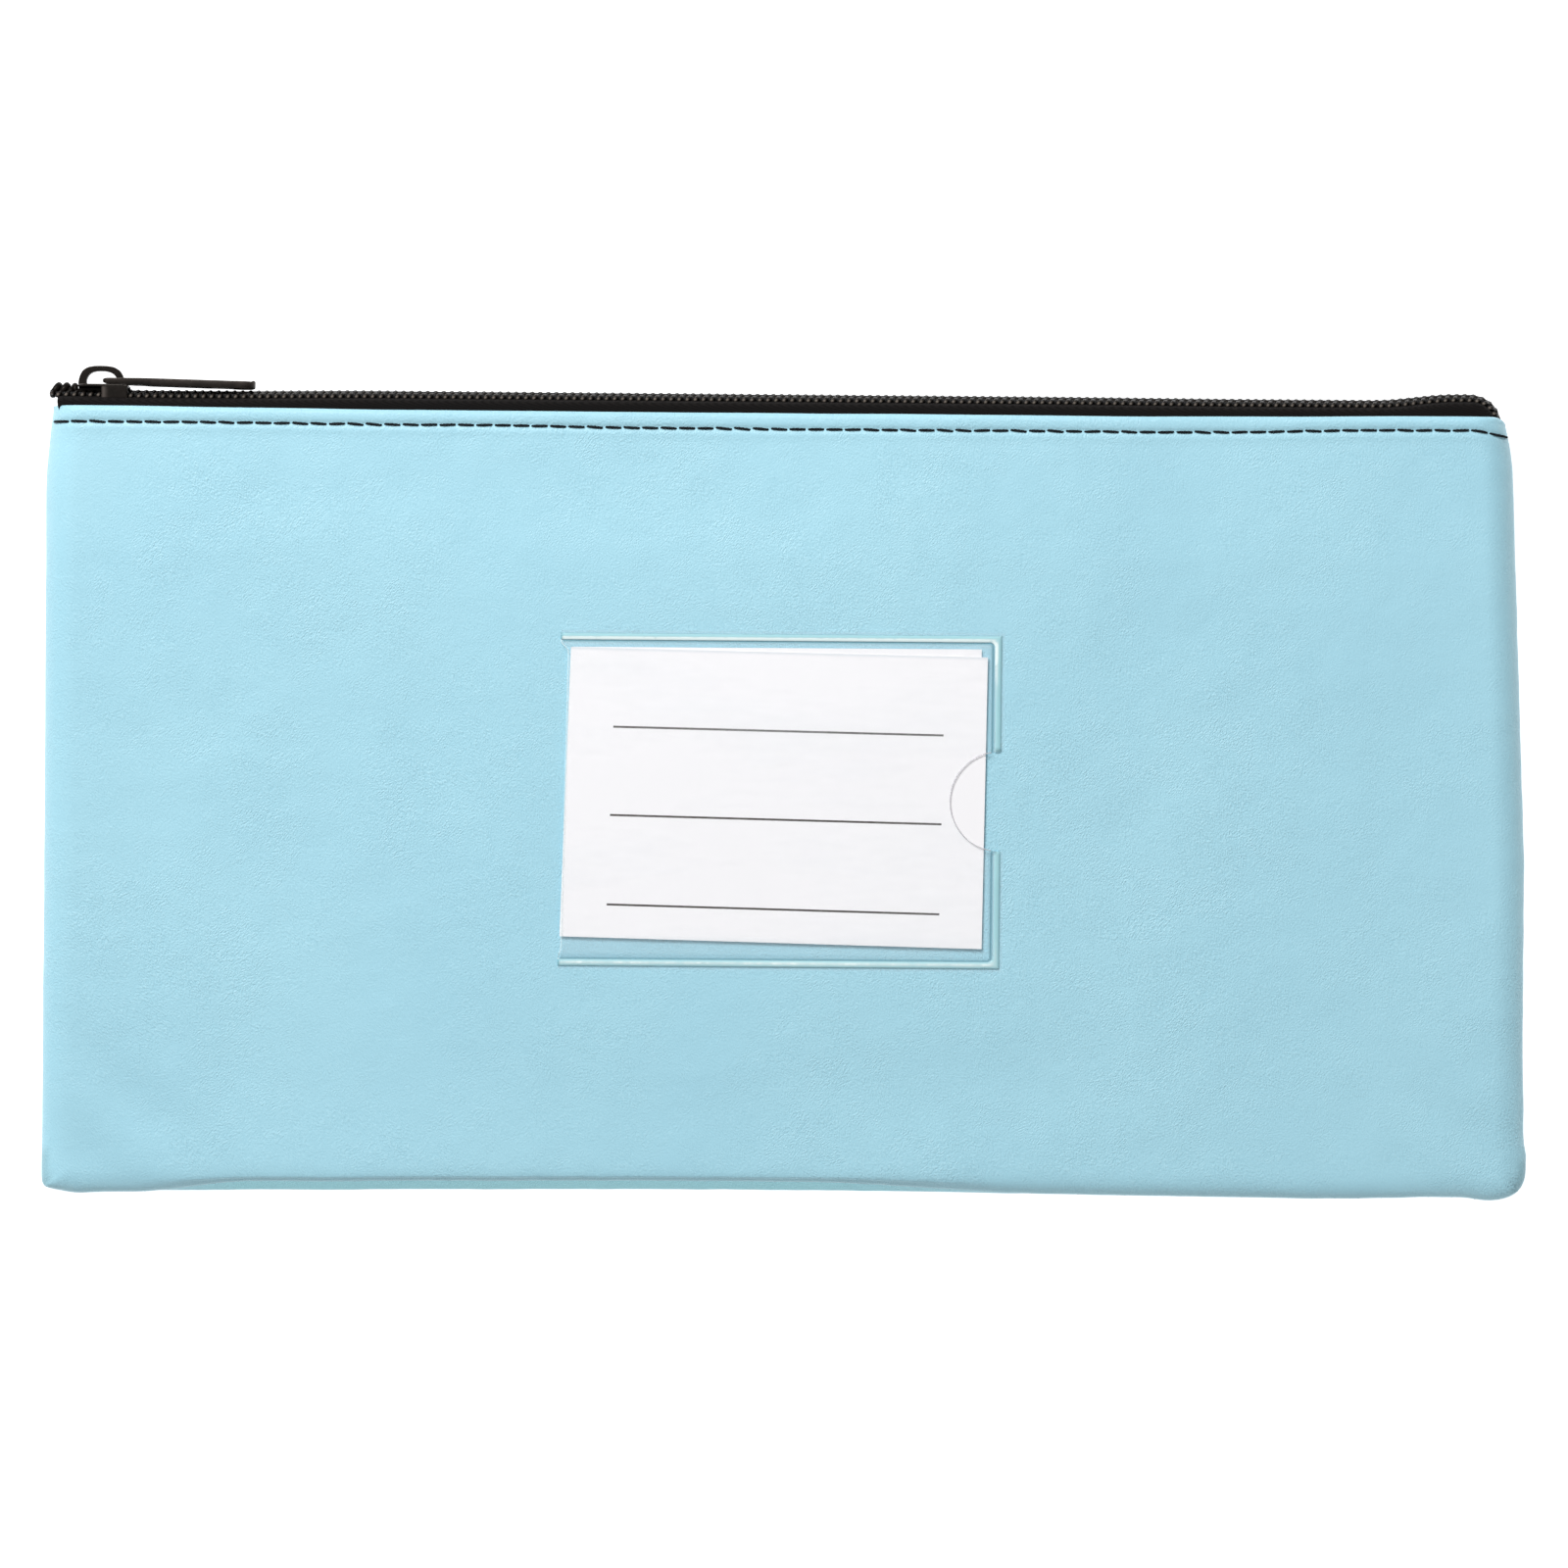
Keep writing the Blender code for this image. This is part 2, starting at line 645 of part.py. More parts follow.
def make_slider():
    """Top and bottom plates joined by a neck between the coils, side flanges at the tail, and the bail."""
    middle_top = (PLATE_UNDERSIDE + PLATE_TOP) / 2
    middle_floor = (FLOOR_TOP + FLOOR_UNDERSIDE) / 2
    body = lay_in_zip_plane(plate("slider_body", [slider_outline()], SLIDER_PLATE, BAG, BLACK_METAL))
    body.data.transform(Matrix.Translation((0, middle_top, 0)))
    floor = lay_in_zip_plane(plate("slider_floor", [slider_outline()], SLIDER_PLATE, HELPERS))
    floor.data.transform(Matrix.Translation((0, middle_floor, 0)))
    neck_left = SLIDER_LEFT + 0.4 * MM
    neck = box(
        "slider_neck",
        (neck_left, middle_floor, ZIP_Z - NECK_THICKNESS / 2),
        (neck_left + NECK_LENGTH, middle_top, ZIP_Z + NECK_THICKNESS / 2),
    )
    parts = [floor, neck, make_bail()]
    for side in (1, -1):
        for name, low, high in (
            ("upper", TAPE_TOP + TOUCH, middle_top),
            ("lower", middle_floor, TAPE_TOP - TAPE - TOUCH),
        ):
            outer = ZIP_Z + side * (SLIDER_TAIL_HALF - 0.05 * MM)
            inner = outer - side * FLANGE_THICKNESS
            right = SLIDER_RIGHT - 1.2 * MM
            parts.append(
                box(
                    f"{name}_flange_{side}",
                    (right - FLANGE_LENGTH + 1.2 * MM, low, min(inner, outer)),
                    (right, high, max(inner, outer)),
                )
            )
    for part in parts:
        boolean(body, part, "UNION")
    return shade_smooth(body)


def make_pull():
    """A flat tab with an eye round the bail and a small hole near its far end, drawn from its hinge axis."""
    half, neck = PULL_WIDTH / 2, PULL_NECK_WIDTH / 2
    start, end = -PULL_BAR / 2, PULL_LENGTH - PULL_BAR / 2
    outline = rounded(
        [(start, -neck), (end, -half), (end, half), (start, neck)],
        [0.9 * MM, 2.6 * MM, 2.6 * MM, 0.9 * MM],
    )
    eye_half = PULL_EYE_WIDTH / 2
    eye_start, eye_end = PULL_BAR / 2, PULL_BAR / 2 + PULL_EYE_LENGTH
    eye = rounded(
        [(eye_start, -eye_half), (eye_end, -eye_half), (eye_end, eye_half), (eye_start, eye_half)],
        [0.4 * MM] * 4,
    )
    hole_centre = end - half
    hole = [
        (hole_centre + PULL_HOLE_RADIUS * math.cos(a), PULL_HOLE_RADIUS * math.sin(a))
        for a in spread(0, 2 * math.pi, 20)[:-1]
    ]
    pull = plate("slider_pull", [outline, eye, hole], PULL_THICKNESS, BAG, BLACK_METAL)
    pull.data.transform(Matrix.Rotation(-PULL_REST_TILT, 4, "Z") @ Matrix.Rotation(math.pi / 2, 4, "X"))
    pull.location = (PULL_AXIS_X, PULL_AXIS_HEIGHT, ZIP_Z)
    edges = pull.modifiers.new("soft_edges", "BEVEL")
    edges.width = 0.15 * MM
    edges.segments = 1
    edges.limit_method = "ANGLE"
    edges.angle_limit = math.radians(60)
    return shade_smooth(pull)


# Label window and card


FACE_TILT = math.atan2(2 * (HALF_DEPTH_TOP - HALF_DEPTH_BOTTOM), BODY_HEIGHT)


def on_front(x, y, height, turn=0.0):
    """Placement of a flat piece drawn in XY: its middle a height above the front panel's outer face."""
    face = Matrix.Translation((x, y, 2 * half_depth(y))) @ Matrix.Rotation(FACE_TILT, 4, "X")
    return face @ Matrix.Translation((0, 0, height)) @ Matrix.Rotation(turn, 4, "Z")


def make_window():
    """A clear sheet raised over the card, welded down along its top, bottom and right, with a thumb notch."""
    half_x, half_y = WINDOW_SIZE[0] / 2, WINDOW_SIZE[1] / 2
    film_bottom = 2 * TOUCH + CARD
    outline = [
        (-half_x, -half_y), (half_x, -half_y), (half_x, half_y), (-half_x + 2 * WINDOW_LEFT_LEAN, half_y),
    ]
    window = plate("label_window", [outline], FILM, BAG, CLEAR_FILM)
    window.data.transform(Matrix.Translation((0, 0, film_bottom + FILM / 2)))
    middle = film_bottom + FILM / 2
    welds = (
        ("top_weld", (-half_x, half_y - WELD_WIDTH), (half_x, half_y)),
        ("bottom_weld", (-half_x, -half_y), (half_x, -half_y + WELD_WIDTH)),
        ("right_weld", (half_x - WELD_WIDTH, -half_y), (half_x, half_y)),
    )
    parts = [box(name, (*low, 0), (*high, middle)) for name, low, high in welds]
    notch_centre = (half_x, NOTCH_CENTRE_Y - WINDOW_CENTRE[1], 0)
    notch = cylinder("thumb_notch", notch_centre, NOTCH_RADIUS, 10 * MM, (0, 0, 1))
    place = on_front(*WINDOW_CENTRE, TOUCH)
    for piece in (window, notch, *parts):
        piece.data.transform(Matrix.Translation((0, 0, 0)))
        piece.matrix_world = place
    for part in parts:
        boolean(window, part, "UNION")
    boolean(window, notch, "DIFFERENCE")
    return window


def make_card():
    half_x, half_y = CARD_SIZE[0] / 2, CARD_SIZE[1] / 2
    outline = rounded(
        [(-half_x, -half_y), (half_x, -half_y), (half_x, half_y), (-half_x, half_y)], [0.4 * MM] * 4, 3
    )
    card = plate("insert_card", [outline], CARD, BAG, WHITE_CARD)
    card.matrix_world = on_front(*CARD_CENTRE, 2 * TOUCH + CARD / 2, CARD_TURN)
    return card


def main():
    for side, face in (("front", 1), ("back", -1)):
        make_panel(f"{side}_panel", face)
        make_tape(f"{side}_zip_tape", face)
        make_coil(f"{side}_zip_coil", face)
        make_coil_cord(f"{side}_coil_cord", face)
        make_coil_thread(f"{side}_coil_thread", face)
        make_topstitch(f"{side}_topstitch", face)
        make_bobbin_thread(f"{side}_bobbin_thread", face)
    make_seam_threads()
    make_slider()
    make_pull()
    make_window()
    make_card()


main()
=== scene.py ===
"""Looks of the zipped cash deposit bag: leatherette shell, coil zip, slider, stitches, label window and card.

Lengths are in millimetres until a mesh is made. +X runs along the zip, +Y from the bottom edge to the zip,
+Z out of the front. The bag lies on its back at z = 0.
"""

import random
from itertools import accumulate
from math import acos, ceil, copysign, cos, exp, floor, hypot, pi, radians, sin, sqrt, tan

import bmesh
import bpy
import numpy as np
from mathutils import Matrix, Vector, noise


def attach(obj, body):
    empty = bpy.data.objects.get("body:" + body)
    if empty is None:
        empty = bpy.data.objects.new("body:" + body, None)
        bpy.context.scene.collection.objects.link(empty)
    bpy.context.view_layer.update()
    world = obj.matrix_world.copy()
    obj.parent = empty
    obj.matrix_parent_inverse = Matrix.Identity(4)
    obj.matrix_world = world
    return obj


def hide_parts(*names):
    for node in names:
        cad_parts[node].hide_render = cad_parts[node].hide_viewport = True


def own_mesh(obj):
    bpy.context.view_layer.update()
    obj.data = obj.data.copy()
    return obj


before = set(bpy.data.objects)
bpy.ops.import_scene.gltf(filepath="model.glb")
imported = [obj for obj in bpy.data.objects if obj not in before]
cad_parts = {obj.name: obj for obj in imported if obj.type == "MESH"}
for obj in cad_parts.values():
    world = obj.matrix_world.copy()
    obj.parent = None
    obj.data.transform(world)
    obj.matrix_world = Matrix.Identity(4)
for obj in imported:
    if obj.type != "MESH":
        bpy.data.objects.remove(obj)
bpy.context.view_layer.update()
RANDOM = random.Random(11)
MM = 0.001
X, Y, Z = (Vector(axis) for axis in ((1, 0, 0), (0, 1, 0), (0, 0, 1)))

# Bag body, as in the CAD model
WIDTH = 279.4
HEM_Y, BOTTOM_Y = 73.7, -73.7
BOTTOM_ARCH = 0.9
LEATHER = 0.9
DEPTH_BOTTOM, DEPTH_TOP = 5.0, 8.5
HEM_LIFT, HEM_LIFT_START = 0.85, 46.0
ROLL = 6.0
CORNER_POWER = {"left": 8.0, "right": 2.7}
BOTTOM_POWER = 2.9  # the bottom edge rolls over more tightly than the sides
SEAM_GAP, SEAM_BEND, ALLOWANCE = 0.3, 1.2, 5.7
SEAM_TOP = 69.0
HEM_BEND, HEM_DEPTH = 1.1, 9.0
SHOULDER = SEAM_GAP / 2 + SEAM_BEND
ZIP_Z = DEPTH_TOP

# Soft shape that the CAD model leaves out
HEM_DROP = 0.66  # the fold's crest sits this much lower than the CAD model's
SEAM_SHOW, SEAM_LIFT = 2.0, 0.42  # the back panel rolls out this far under the front, and its seam rises
SEAM_SHOW_RANGE = (-122.0, 36.0)
STITCH_PITCH = 3.45
STITCH_START = 399.8  # places the needle holes along the hem
STITCH_LINE = 2.9  # below the fold
GROOVE, SWELL = 0.22, 0.08  # the row of stitches sinks, and the skin stands proud beside it
FREE = 0.35  # how much of the relief is left where the skin is held at its sides near the hem

# Zip
COIL_Y = 75.58
COIL_MIDDLE, COIL_REACH = 1.6, 1.1
COIL_HALF = 0.34
FILAMENT = 0.335
LEAN = radians(9.9)  # the chain leans towards the front, so both coils show
PITCH = 1.515
TAPE = 0.42
TAPE_LEG = 4.95


def smooth(a, b, x):
    share = min(1.0, max(0.0, (x - a) / (b - a)))
    return share * share * (3 - 2 * share)


def mix(a, b, share):
    return a + (b - a) * share


def peak(x, middle, width):
    """A smooth bump, 1 at its middle."""
    return exp(-(((x - middle) / width) ** 2))


def steps(x, *each):
    """A sum of smooth steps, each (amount, where it starts, where it ends)."""
    return sum(amount * smooth(a, b, x) for amount, a, b in each)


def spread(a, b, count):
    return [mix(a, b, k / count) for k in range(count + 1)]


def wander(x, y, scale, seed):
    """Smooth noise from about -1 to 1."""
    return noise.noise((x / scale, y / scale, seed))


# Materials


class Field:
    """A node's output that does arithmetic by adding math nodes."""

    def __init__(self, nodes, socket):
        self.nodes, self.socket = nodes, socket

    def math(self, operation, a, b=0.0):
        return self.nodes.add("ShaderNodeMath", 0, {0: a, 1: b}, operation=operation)

    def __add__(self, other):
        return self.math("ADD", self, other)

    def __sub__(self, other):
        return self.math("SUBTRACT", self, other)

    def __rsub__(self, other):
        return self.math("SUBTRACT", other, self)

    def __mul__(self, other):
        return self.math("MULTIPLY", self, other)

    def __abs__(self):
        return self.math("ABSOLUTE", self)

    def below(self, limit):
        return self.math("LESS_THAN", self, limit)

    def most(self, other):
        return self.math("MAXIMUM", self, other)

    def clamped(self):
        self.socket.node.use_clamp = True
        return self


class Nodes:
    """Builds one material's node tree."""

    def __init__(self, name):
        self.material = bpy.data.materials.new(name)
        self.material.use_nodes = True
        self.tree = self.material.node_tree
        self.place = self.add("ShaderNodeTexCoord", "Object")

    def feed(self, socket, value):
        if isinstance(value, Field):
            self.tree.links.new(value.socket, socket)
        else:
            is_colour = isinstance(value, tuple) and socket.type == "RGBA"
            socket.default_value = (*value, 1.0) if is_colour else value

    def add(self, kind, output, inputs=None, **settings):
        node = self.tree.nodes.new(kind)
        for key, value in settings.items():
            setattr(node, key, value)
        for key, value in (inputs or {}).items():
            self.feed(node.inputs[key], value)
        return Field(self, node.outputs[output])

    def scaled(self, scale, turn=0.0, kind="POINT"):
        """Object coordinates in metres, scaled and turned. The kind TEXTURE draws them out instead."""
        inputs = {"Vector": self.place, "Scale": scale, "Rotation": (0, 0, turn)}
        return self.add("ShaderNodeMapping", "Vector", inputs, vector_type=kind)

    def noise(self, scale, detail=2.0, vector=None):
        inputs = {"Vector": vector or self.place, "Scale": scale, "Detail": detail}
        return self.add("ShaderNodeTexNoise", "Fac", inputs)

    def wave(self, stretch, scale, distortion, direction="DIAGONAL"):
        inputs = {"Vector": self.scaled(stretch), "Scale": scale, "Distortion": distortion}
        return self.add("ShaderNodeTexWave", "Fac", inputs, bands_direction=direction)

    def ramp(self, factor, *stops):
        made = self.add("ShaderNodeValToRGB", "Color", {"Fac": factor})
        for element, (position, colour) in zip(made.socket.node.color_ramp.elements, stops):
            element.position, element.color = position, (*colour, 1.0)
        return made

    def tinted(self, colour, *layers):
        """Lays each (share, tint) over a colour."""
        for share, tint in layers:
            colour = self.add("ShaderNodeMix", 2, {0: share, 6: colour, 7: tint}, data_type="RGBA")
        return colour

    def attribute(self, name):
        return self.add("ShaderNodeAttribute", "Fac", attribute_name=name)

    def bump(self, height, distance, strength=1.0, below=None):
        inputs = {"Height": height, "Distance": distance, "Strength": strength}
        if below:
            inputs["Normal"] = below
        return self.add("ShaderNodeBump", "Normal", inputs)

    def finish(self, colour, roughness, specular, **others):
        shader = self.tree.nodes["Principled BSDF"]
        sockets = {"Base Color": colour, "Roughness": roughness, "Specular IOR Level": specular}
        for name, value in {**sockets, **others}.items():
            self.feed(shader.inputs[name.replace("_", " ")], value)
        return self.material


def leatherette():
    """Grained PU leatherette: short soft wrinkles, pressed more deeply in some patches than in others."""
    n = Nodes("leatherette")
    dashes = (1.4, 0.85, 1.0)
    rising, falling = (n.noise(3300.0, 0.8, n.scaled(dashes, turn, "TEXTURE")) for turn in (0.95, -1.1))
    either = ((n.noise(130.0, 1.0) - 0.42) * 6.0).clamped()
    wrinkles = rising * (1.0 - either) + falling * either
    pores = n.noise(2600.0, 0.0)
    pressed = (n.noise(38.0) * 3.0 - 1.0).clamped() * 0.55 + 0.45
    grain = (wrinkles + pores * 0.12) * pressed
    colour = n.tinted(
        n.ramp(n.noise(22.0, 3.0), (0.3, (0.385, 0.69, 0.815)), (0.7, (0.41, 0.72, 0.84))),
        (((wrinkles - 0.5) * 2.6).clamped() * pressed * 0.7, (0.53, 0.84, 0.95)),
        (((0.45 - wrinkles) * 2.6).clamped() * pressed * 0.5, (0.27, 0.56, 0.68)),
        # paler, partly as wear and partly as painted light, along the rolled edges and the hem's fold
        ((n.attribute("wear_and_painted_light") * n.noise(300.0, 3.0)).clamped() * 0.4, (0.52, 0.82, 0.9)),
        # painted shade: darker along the creases, over the left roll and on the hem's fold
        (n.attribute("painted_shade") * 0.42, (0.18, 0.39, 0.46)),
        # painted light: the back panel's band, which lies in shade, made paler
        (n.attribute("painted_light") * 0.9, (0.44, 0.90, 1.0)),
        (n.attribute("inside"), (0.42, 0.43, 0.42)),
    )
    soft = n.bump(n.noise(170.0), 0.0004, 0.35)
    return n.finish(
        colour, pores * 0.12 + 0.4, 0.42, Normal=n.bump(grain, 0.00018, 1.0, soft),
        Sheen_Weight=0.04, Sheen_Roughness=0.5,
    )


def woven_tape():
    n = Nodes("woven_tape")
    ribs = n.wave((1, 0.04, 0.04), 2100.0, 0.6, "X")
    picks = n.wave((0.25, 1, 1), 1500.0, 0.8)
    height = ribs * 0.6 + picks * 0.5 + n.noise(5200.0, 4.0) * 0.4
    colour = n.ramp(height, (0.2, (0.003, 0.003, 0.003)), (0.95, (0.015, 0.0132, 0.0128)))
    return n.finish(colour, 0.9, 0.06, Normal=n.bump(height, 0.00012, 0.8))


def nylon():
    n = Nodes("black_nylon")
    streaks = n.noise(2500.0, 3.0, n.scaled((1, 0.4, 0.4)))
    colour = n.ramp(streaks, (0.35, (0.004, 0.0035, 0.003)), (0.7, (0.010, 0.008, 0.007)))
    # painted highlights on the front coil's turns
    colour = n.tinted(colour, (n.attribute("painted_gleam"), (0.21, 0.18, 0.155)))
    normal = n.bump(streaks, 0.00003, 0.4)
    return n.finish(colour, streaks * 0.15 + 0.3, 0.09, Normal=normal, Specular_Tint=(1.0, 0.93, 0.84))


def thread(name, dark, light):
    """Twisted sewing thread."""
    n = Nodes(name)
    height = n.wave((1, 1, 1), 1500.0, 0.5) + n.noise(6000.0, 3.0) * 0.4
    colour = n.ramp(height, (0.2, dark), (1.0, light))
    return n.finish(colour, 0.8, 0.1, Normal=n.bump(height, 0.00006, 0.7))


def enamel():
    """Black enamel on cast metal, rubbed thin on its edges, with painted highlights on the flanges' rounded
    ends and on the pull's lit half.
    """
    n = Nodes("worn_black_enamel")
    cast, cloud = n.noise(1400.0, 4.0), n.noise(320.0, 3.0)
    wear_and_painted_light = (n.attribute("wear_and_painted_light") * (cloud + 0.35)).clamped() * 0.75
    base = n.ramp(cloud, (0.3, (0.004, 0.0035, 0.003)), (0.75, (0.012, 0.009, 0.0075)))
    return n.finish(
        n.tinted(base, (wear_and_painted_light, (0.13, 0.11, 0.098))), cast * 0.2 + 0.26, 0.15, Metallic=wear_and_painted_light * 0.6,
        Normal=n.bump(cast, 0.00005, 0.5), Specular_Tint=(1.0, 0.93, 0.86),
    )


# Film layers: weld, painted highlight on the welds, painted shade in and round them, painted highlight on the
# open left edge, the notch's cut edge and the clear sheet
FILM_LAYERS = ("weld", "painted_weld_glint", "painted_film_shade", "rim", "cut", "sheet")


def film():
    """Clear soft vinyl: see-through over the card, cloudy and tinted where it is welded down, with painted
    highlights on the welds and the open left edge and painted shade round the welds.
    """
    n = Nodes("clear_vinyl")
    weld, painted_weld_glint, painted_film_shade, rim, cut, sheet = (n.attribute(name) for name in FILM_LAYERS)
    cloud = n.noise(520.0, 3.0)
    # painted highlight along the welds
    bright = (painted_weld_glint * (cloud + 0.15) * 1.9).clamped()
    colour = n.tinted(
        (0.93, 0.98, 1.0), (weld, (0.44, 0.78, 0.83)), (bright, (0.86, 1.0, 1.0)),
        (painted_film_shade, (0.17, 0.42, 0.50)), (rim, (0.86, 0.98, 1.0)), (cut, (0.66, 0.65, 0.68)),
    )
    haze = ((n.noise(48.0, 3.0, n.scaled((0.6, 2.2, 1))) - 0.47) * 0.4).clamped()
    alpha = sheet * (haze + 0.05) + weld * 0.72
    for layer in (bright * 0.98, painted_film_shade * 0.62, rim * 0.45, cut * 0.4):
        alpha = alpha.most(layer)
    normal = n.bump(cloud, 0.00003, 0.3, n.bump(n.noise(60.0), 0.0004, 0.2))
    rough = (sheet - weld).clamped() * 0.24 + 0.14
    return n.finish(colour, rough, 0.42, Alpha=alpha, IOR=1.5, Normal=normal)


RULES = ((0.729, 0.93), (0.4242, 0.98), (0.1152, 1.0))  # height on the card and strength of the ink
RULE_MIDDLE, RULE_HALF_LENGTH, RULE_HALF_WIDTH = 0.5034, 0.3947, 0.0036


def card_stock():
    """White card with three printed rules, placed by the print layer: u along the card, v up."""
    n = Nodes("ruled_card")
    layer = n.add("ShaderNodeUVMap", "UV", uv_map="print")
    u, v = (n.add("ShaderNodeSeparateXYZ", axis, {"Vector": layer}) for axis in "XY")
    inside = abs(u - RULE_MIDDLE).below(RULE_HALF_LENGTH)
    colour = n.ramp(n.noise(30.0), (0.3, (0.95, 0.94, 0.96)), (0.7, (0.965, 0.955, 0.975)))
    for height, ink in RULES:
        line = abs(v - height).below(RULE_HALF_WIDTH) * inside
        colour = n.tinted(colour, (line * (n.noise(900.0) * 0.16 + (ink - 0.08)), (0.05, 0.04, 0.034)))
    # painted shade: a grey band along the front leaf's top edge
    colour = n.tinted(colour, (((v - 0.988) * 120.0).clamped() * 0.8, (0.76, 0.79, 0.83)))
    return n.finish(colour, 0.62, 0.3, Normal=n.bump(n.noise(3800.0, 4.0), 0.00002, 0.3))


def floor_white():
    n = Nodes("floor_white")
    colour = n.ramp(n.noise(2.0, 1.0), (0.3, (0.55, 0.55, 0.55)), (0.7, (0.57, 0.57, 0.57)))
    return n.finish(colour, 1.0, 0.0, Emission_Color=(1.0, 1.0, 1.0), Emission_Strength=0.85)


# Each look is a material and the slot that it fills
SKIN = leatherette(), "leatherette"
TAPE_CLOTH = woven_tape(), "zip_tape"
NYLON = nylon(), "zip_coil"
BLACK_THREAD = thread("black_thread", (0.0015, 0.002, 0.003), (0.014, 0.017, 0.021)), "black_thread"
BLUE_THREAD = thread("blue_thread", (0.10, 0.24, 0.30), (0.26, 0.48, 0.56)), "blue_thread"
CORD_COTTON = thread("cord_cotton", (0.006, 0.006, 0.007), (0.03, 0.03, 0.03)), "zip_tape"
ENAMEL = enamel(), "slider_metal"
VINYL = film(), "clear_film"
CARD = card_stock(), "card"


# Building helpers


def placed(name, data):
    made = bpy.data.objects.new(name, data)
    bpy.context.scene.collection.objects.link(made)
    return made


def set_layer(mesh, name, values):
    mesh.attributes.new(name, "FLOAT", "POINT").data.foreach_set("value", np.array(values, np.float32))


def dress(made, look, replaced, body="bag"):
    """Gives a piece its material and its body, and hides the CAD node that it stands for."""
    material, slot = look
    made.data.materials.append(material)
    made.data.shade_smooth()
    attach(made, body)
    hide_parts(replaced)
    return made


def add_mesh(name, points, faces, look, replaced, layers=None, body="bag"):
    """A piece from points in millimetres and faces."""
    mesh = bpy.data.meshes.new(name)
    mesh.from_pydata([(x * MM, y * MM, z * MM) for x, y, z in points], [], faces)
    for key, values in (layers or {}).items():
        set_layer(mesh, key, values)
    mesh.update()
    return dress(placed(name, mesh), look, replaced, body)


def grid_faces(columns, rows, keep=None, flip=False):
    """Quads of a grid whose point (i, j) has index i * rows + j."""
    faces = []
    for i in range(columns - 1):
        for j in range(rows - 1):
            if keep is None or keep(i, j):
                a = i * rows + j
                quad = (a, a + rows, a + rows + 1, a + 1)
                faces.append(quad[::-1] if flip else quad)
    return faces


def tidy(made, distance=1e-6):
    """Welds doubled points and drops loose ones."""
    bm = bmesh.new()
    bm.from_mesh(made.data)
    bmesh.ops.remove_doubles(bm, verts=bm.verts, dist=distance)
    bmesh.ops.delete(bm, geom=[v for v in bm.verts if not v.link_faces], context="VERTS")
    bm.to_mesh(made.data)
    bm.free()


def evaluated_mesh(made):
    graph = bpy.context.evaluated_depsgraph_get()
    return bpy.data.meshes.new_from_object(made.evaluated_get(graph))


def modify(made, kind, **settings):
    """Bakes one modifier into the mesh."""
    step = made.modifiers.new(kind.lower(), kind)
    for key, value in settings.items():
        setattr(step, key, value)
    old, mesh = made.data, evaluated_mesh(made)
    made.modifiers.clear()
    made.data = mesh
    bpy.data.meshes.remove(old)
    return made


def sweep(path, radius, sides=8):
    """Points and faces of a capped round tube along a path of Vectors, with turned frames."""
    points, faces = [], []
    last = len(path) - 1
    side = (path[1] - path[0]).normalized().orthogonal().normalized()
    for k, centre in enumerate(path):
        tangent = (path[min(last, k + 1)] - path[max(0, k - 1)]).normalized()
        side = (side - tangent * side.dot(tangent)).normalized()
        up = tangent.cross(side)
        r = radius[k] if isinstance(radius, list) else radius
        for s in range(sides):
            angle = 2 * pi * s / sides
            points.append(centre + (side * cos(angle) * r + up * sin(angle) * r))
    for a in range(0, last * sides, sides):
        for s in range(sides):
            t = (s + 1) % sides
            faces.append((a + s, a + t, a + sides + t, a + sides + s))
    cap = tuple(range(sides))
    return points, faces + [cap[::-1], tuple(last * sides + s for s in cap)]


class Bundle:
    """Several bodies of mesh gathered into one piece."""

    def __init__(self):
        self.points, self.faces = [], []

    def add(self, points, faces):
        start = len(self.points)
        self.points.extend(points)
        self.faces.extend(tuple(start + index for index in face) for face in faces)

    def finish(self, name, look, replaced, **settings):
        return add_mesh(name, self.points, self.faces, look, replaced, **settings)


# Shape of the bag body


def half_depth(y):
    return mix(DEPTH_BOTTOM, DEPTH_TOP, (y - BOTTOM_Y) / (HEM_Y - BOTTOM_Y))


def panel_depth(y):
    return half_depth(y) - HEM_LIFT * min(1.0, max(0.0, (y - HEM_LIFT_START) / (SEAM_TOP - HEM_LIFT_START)))


def left_edge(y):
    share = max(0.0, (y - 55.0) / 16.0)
    flare = steps(y, (-0.15, -64, -72), (-0.15, 20, -60))
    return -WIDTH / 2 + 0.72 + 1.05 * share**2 + flare + 0.08 * wander(3, y, 6.5, 1.3)


def right_edge(y):
    lean = 0.0395 * max(0.0, y + 12.0) - steps(y, (0.3, -45, -60))
    share = max(0.0, (y - 63.0) / 9.0)
    scallop = 0.12 * wander(7, y, 4.2, 4.1)
    return WIDTH / 2 - 0.15 - lean - 0.85 * share**2 + peak(y, -68.2, 3.4) + scallop


def bottom_edge(x):
    wave = 0.10 * wander(x, 5, 16, 2.2) + 0.06 * wander(x, 9, 4.4, 6.0)
    ends = 0.3 * smooth(-126, -134, x) + 0.6 * peak(x, 133.4, 3.6)
    low = 0.92 * smooth(-139.5, -131.5, x) * (1 - smooth(98, 124, x))
    return BOTTOM_Y + 0.05 + BOTTOM_ARCH * cos(pi * x / WIDTH) ** 2 + wave - ends - low


def hem_line(x):
    """Height of the hem's fold."""
    sag = 0.14 * peak(x, 0, 80) + 0.16 * peak(x, 64, 20)
    sag += 0.26 * smooth(-120, -70, x) * (1 - smooth(95, 118, x)) - 0.12 * smooth(-110, -128, x)
    ends = 1.3 * smooth(132.4, 137.0, x) ** 1.6 + steps(x, (0.1, -135.0, -137.8))
    return HEM_Y - HEM_DROP - sag + 0.05 * wander(x, 2, 14, 8.8) - ends


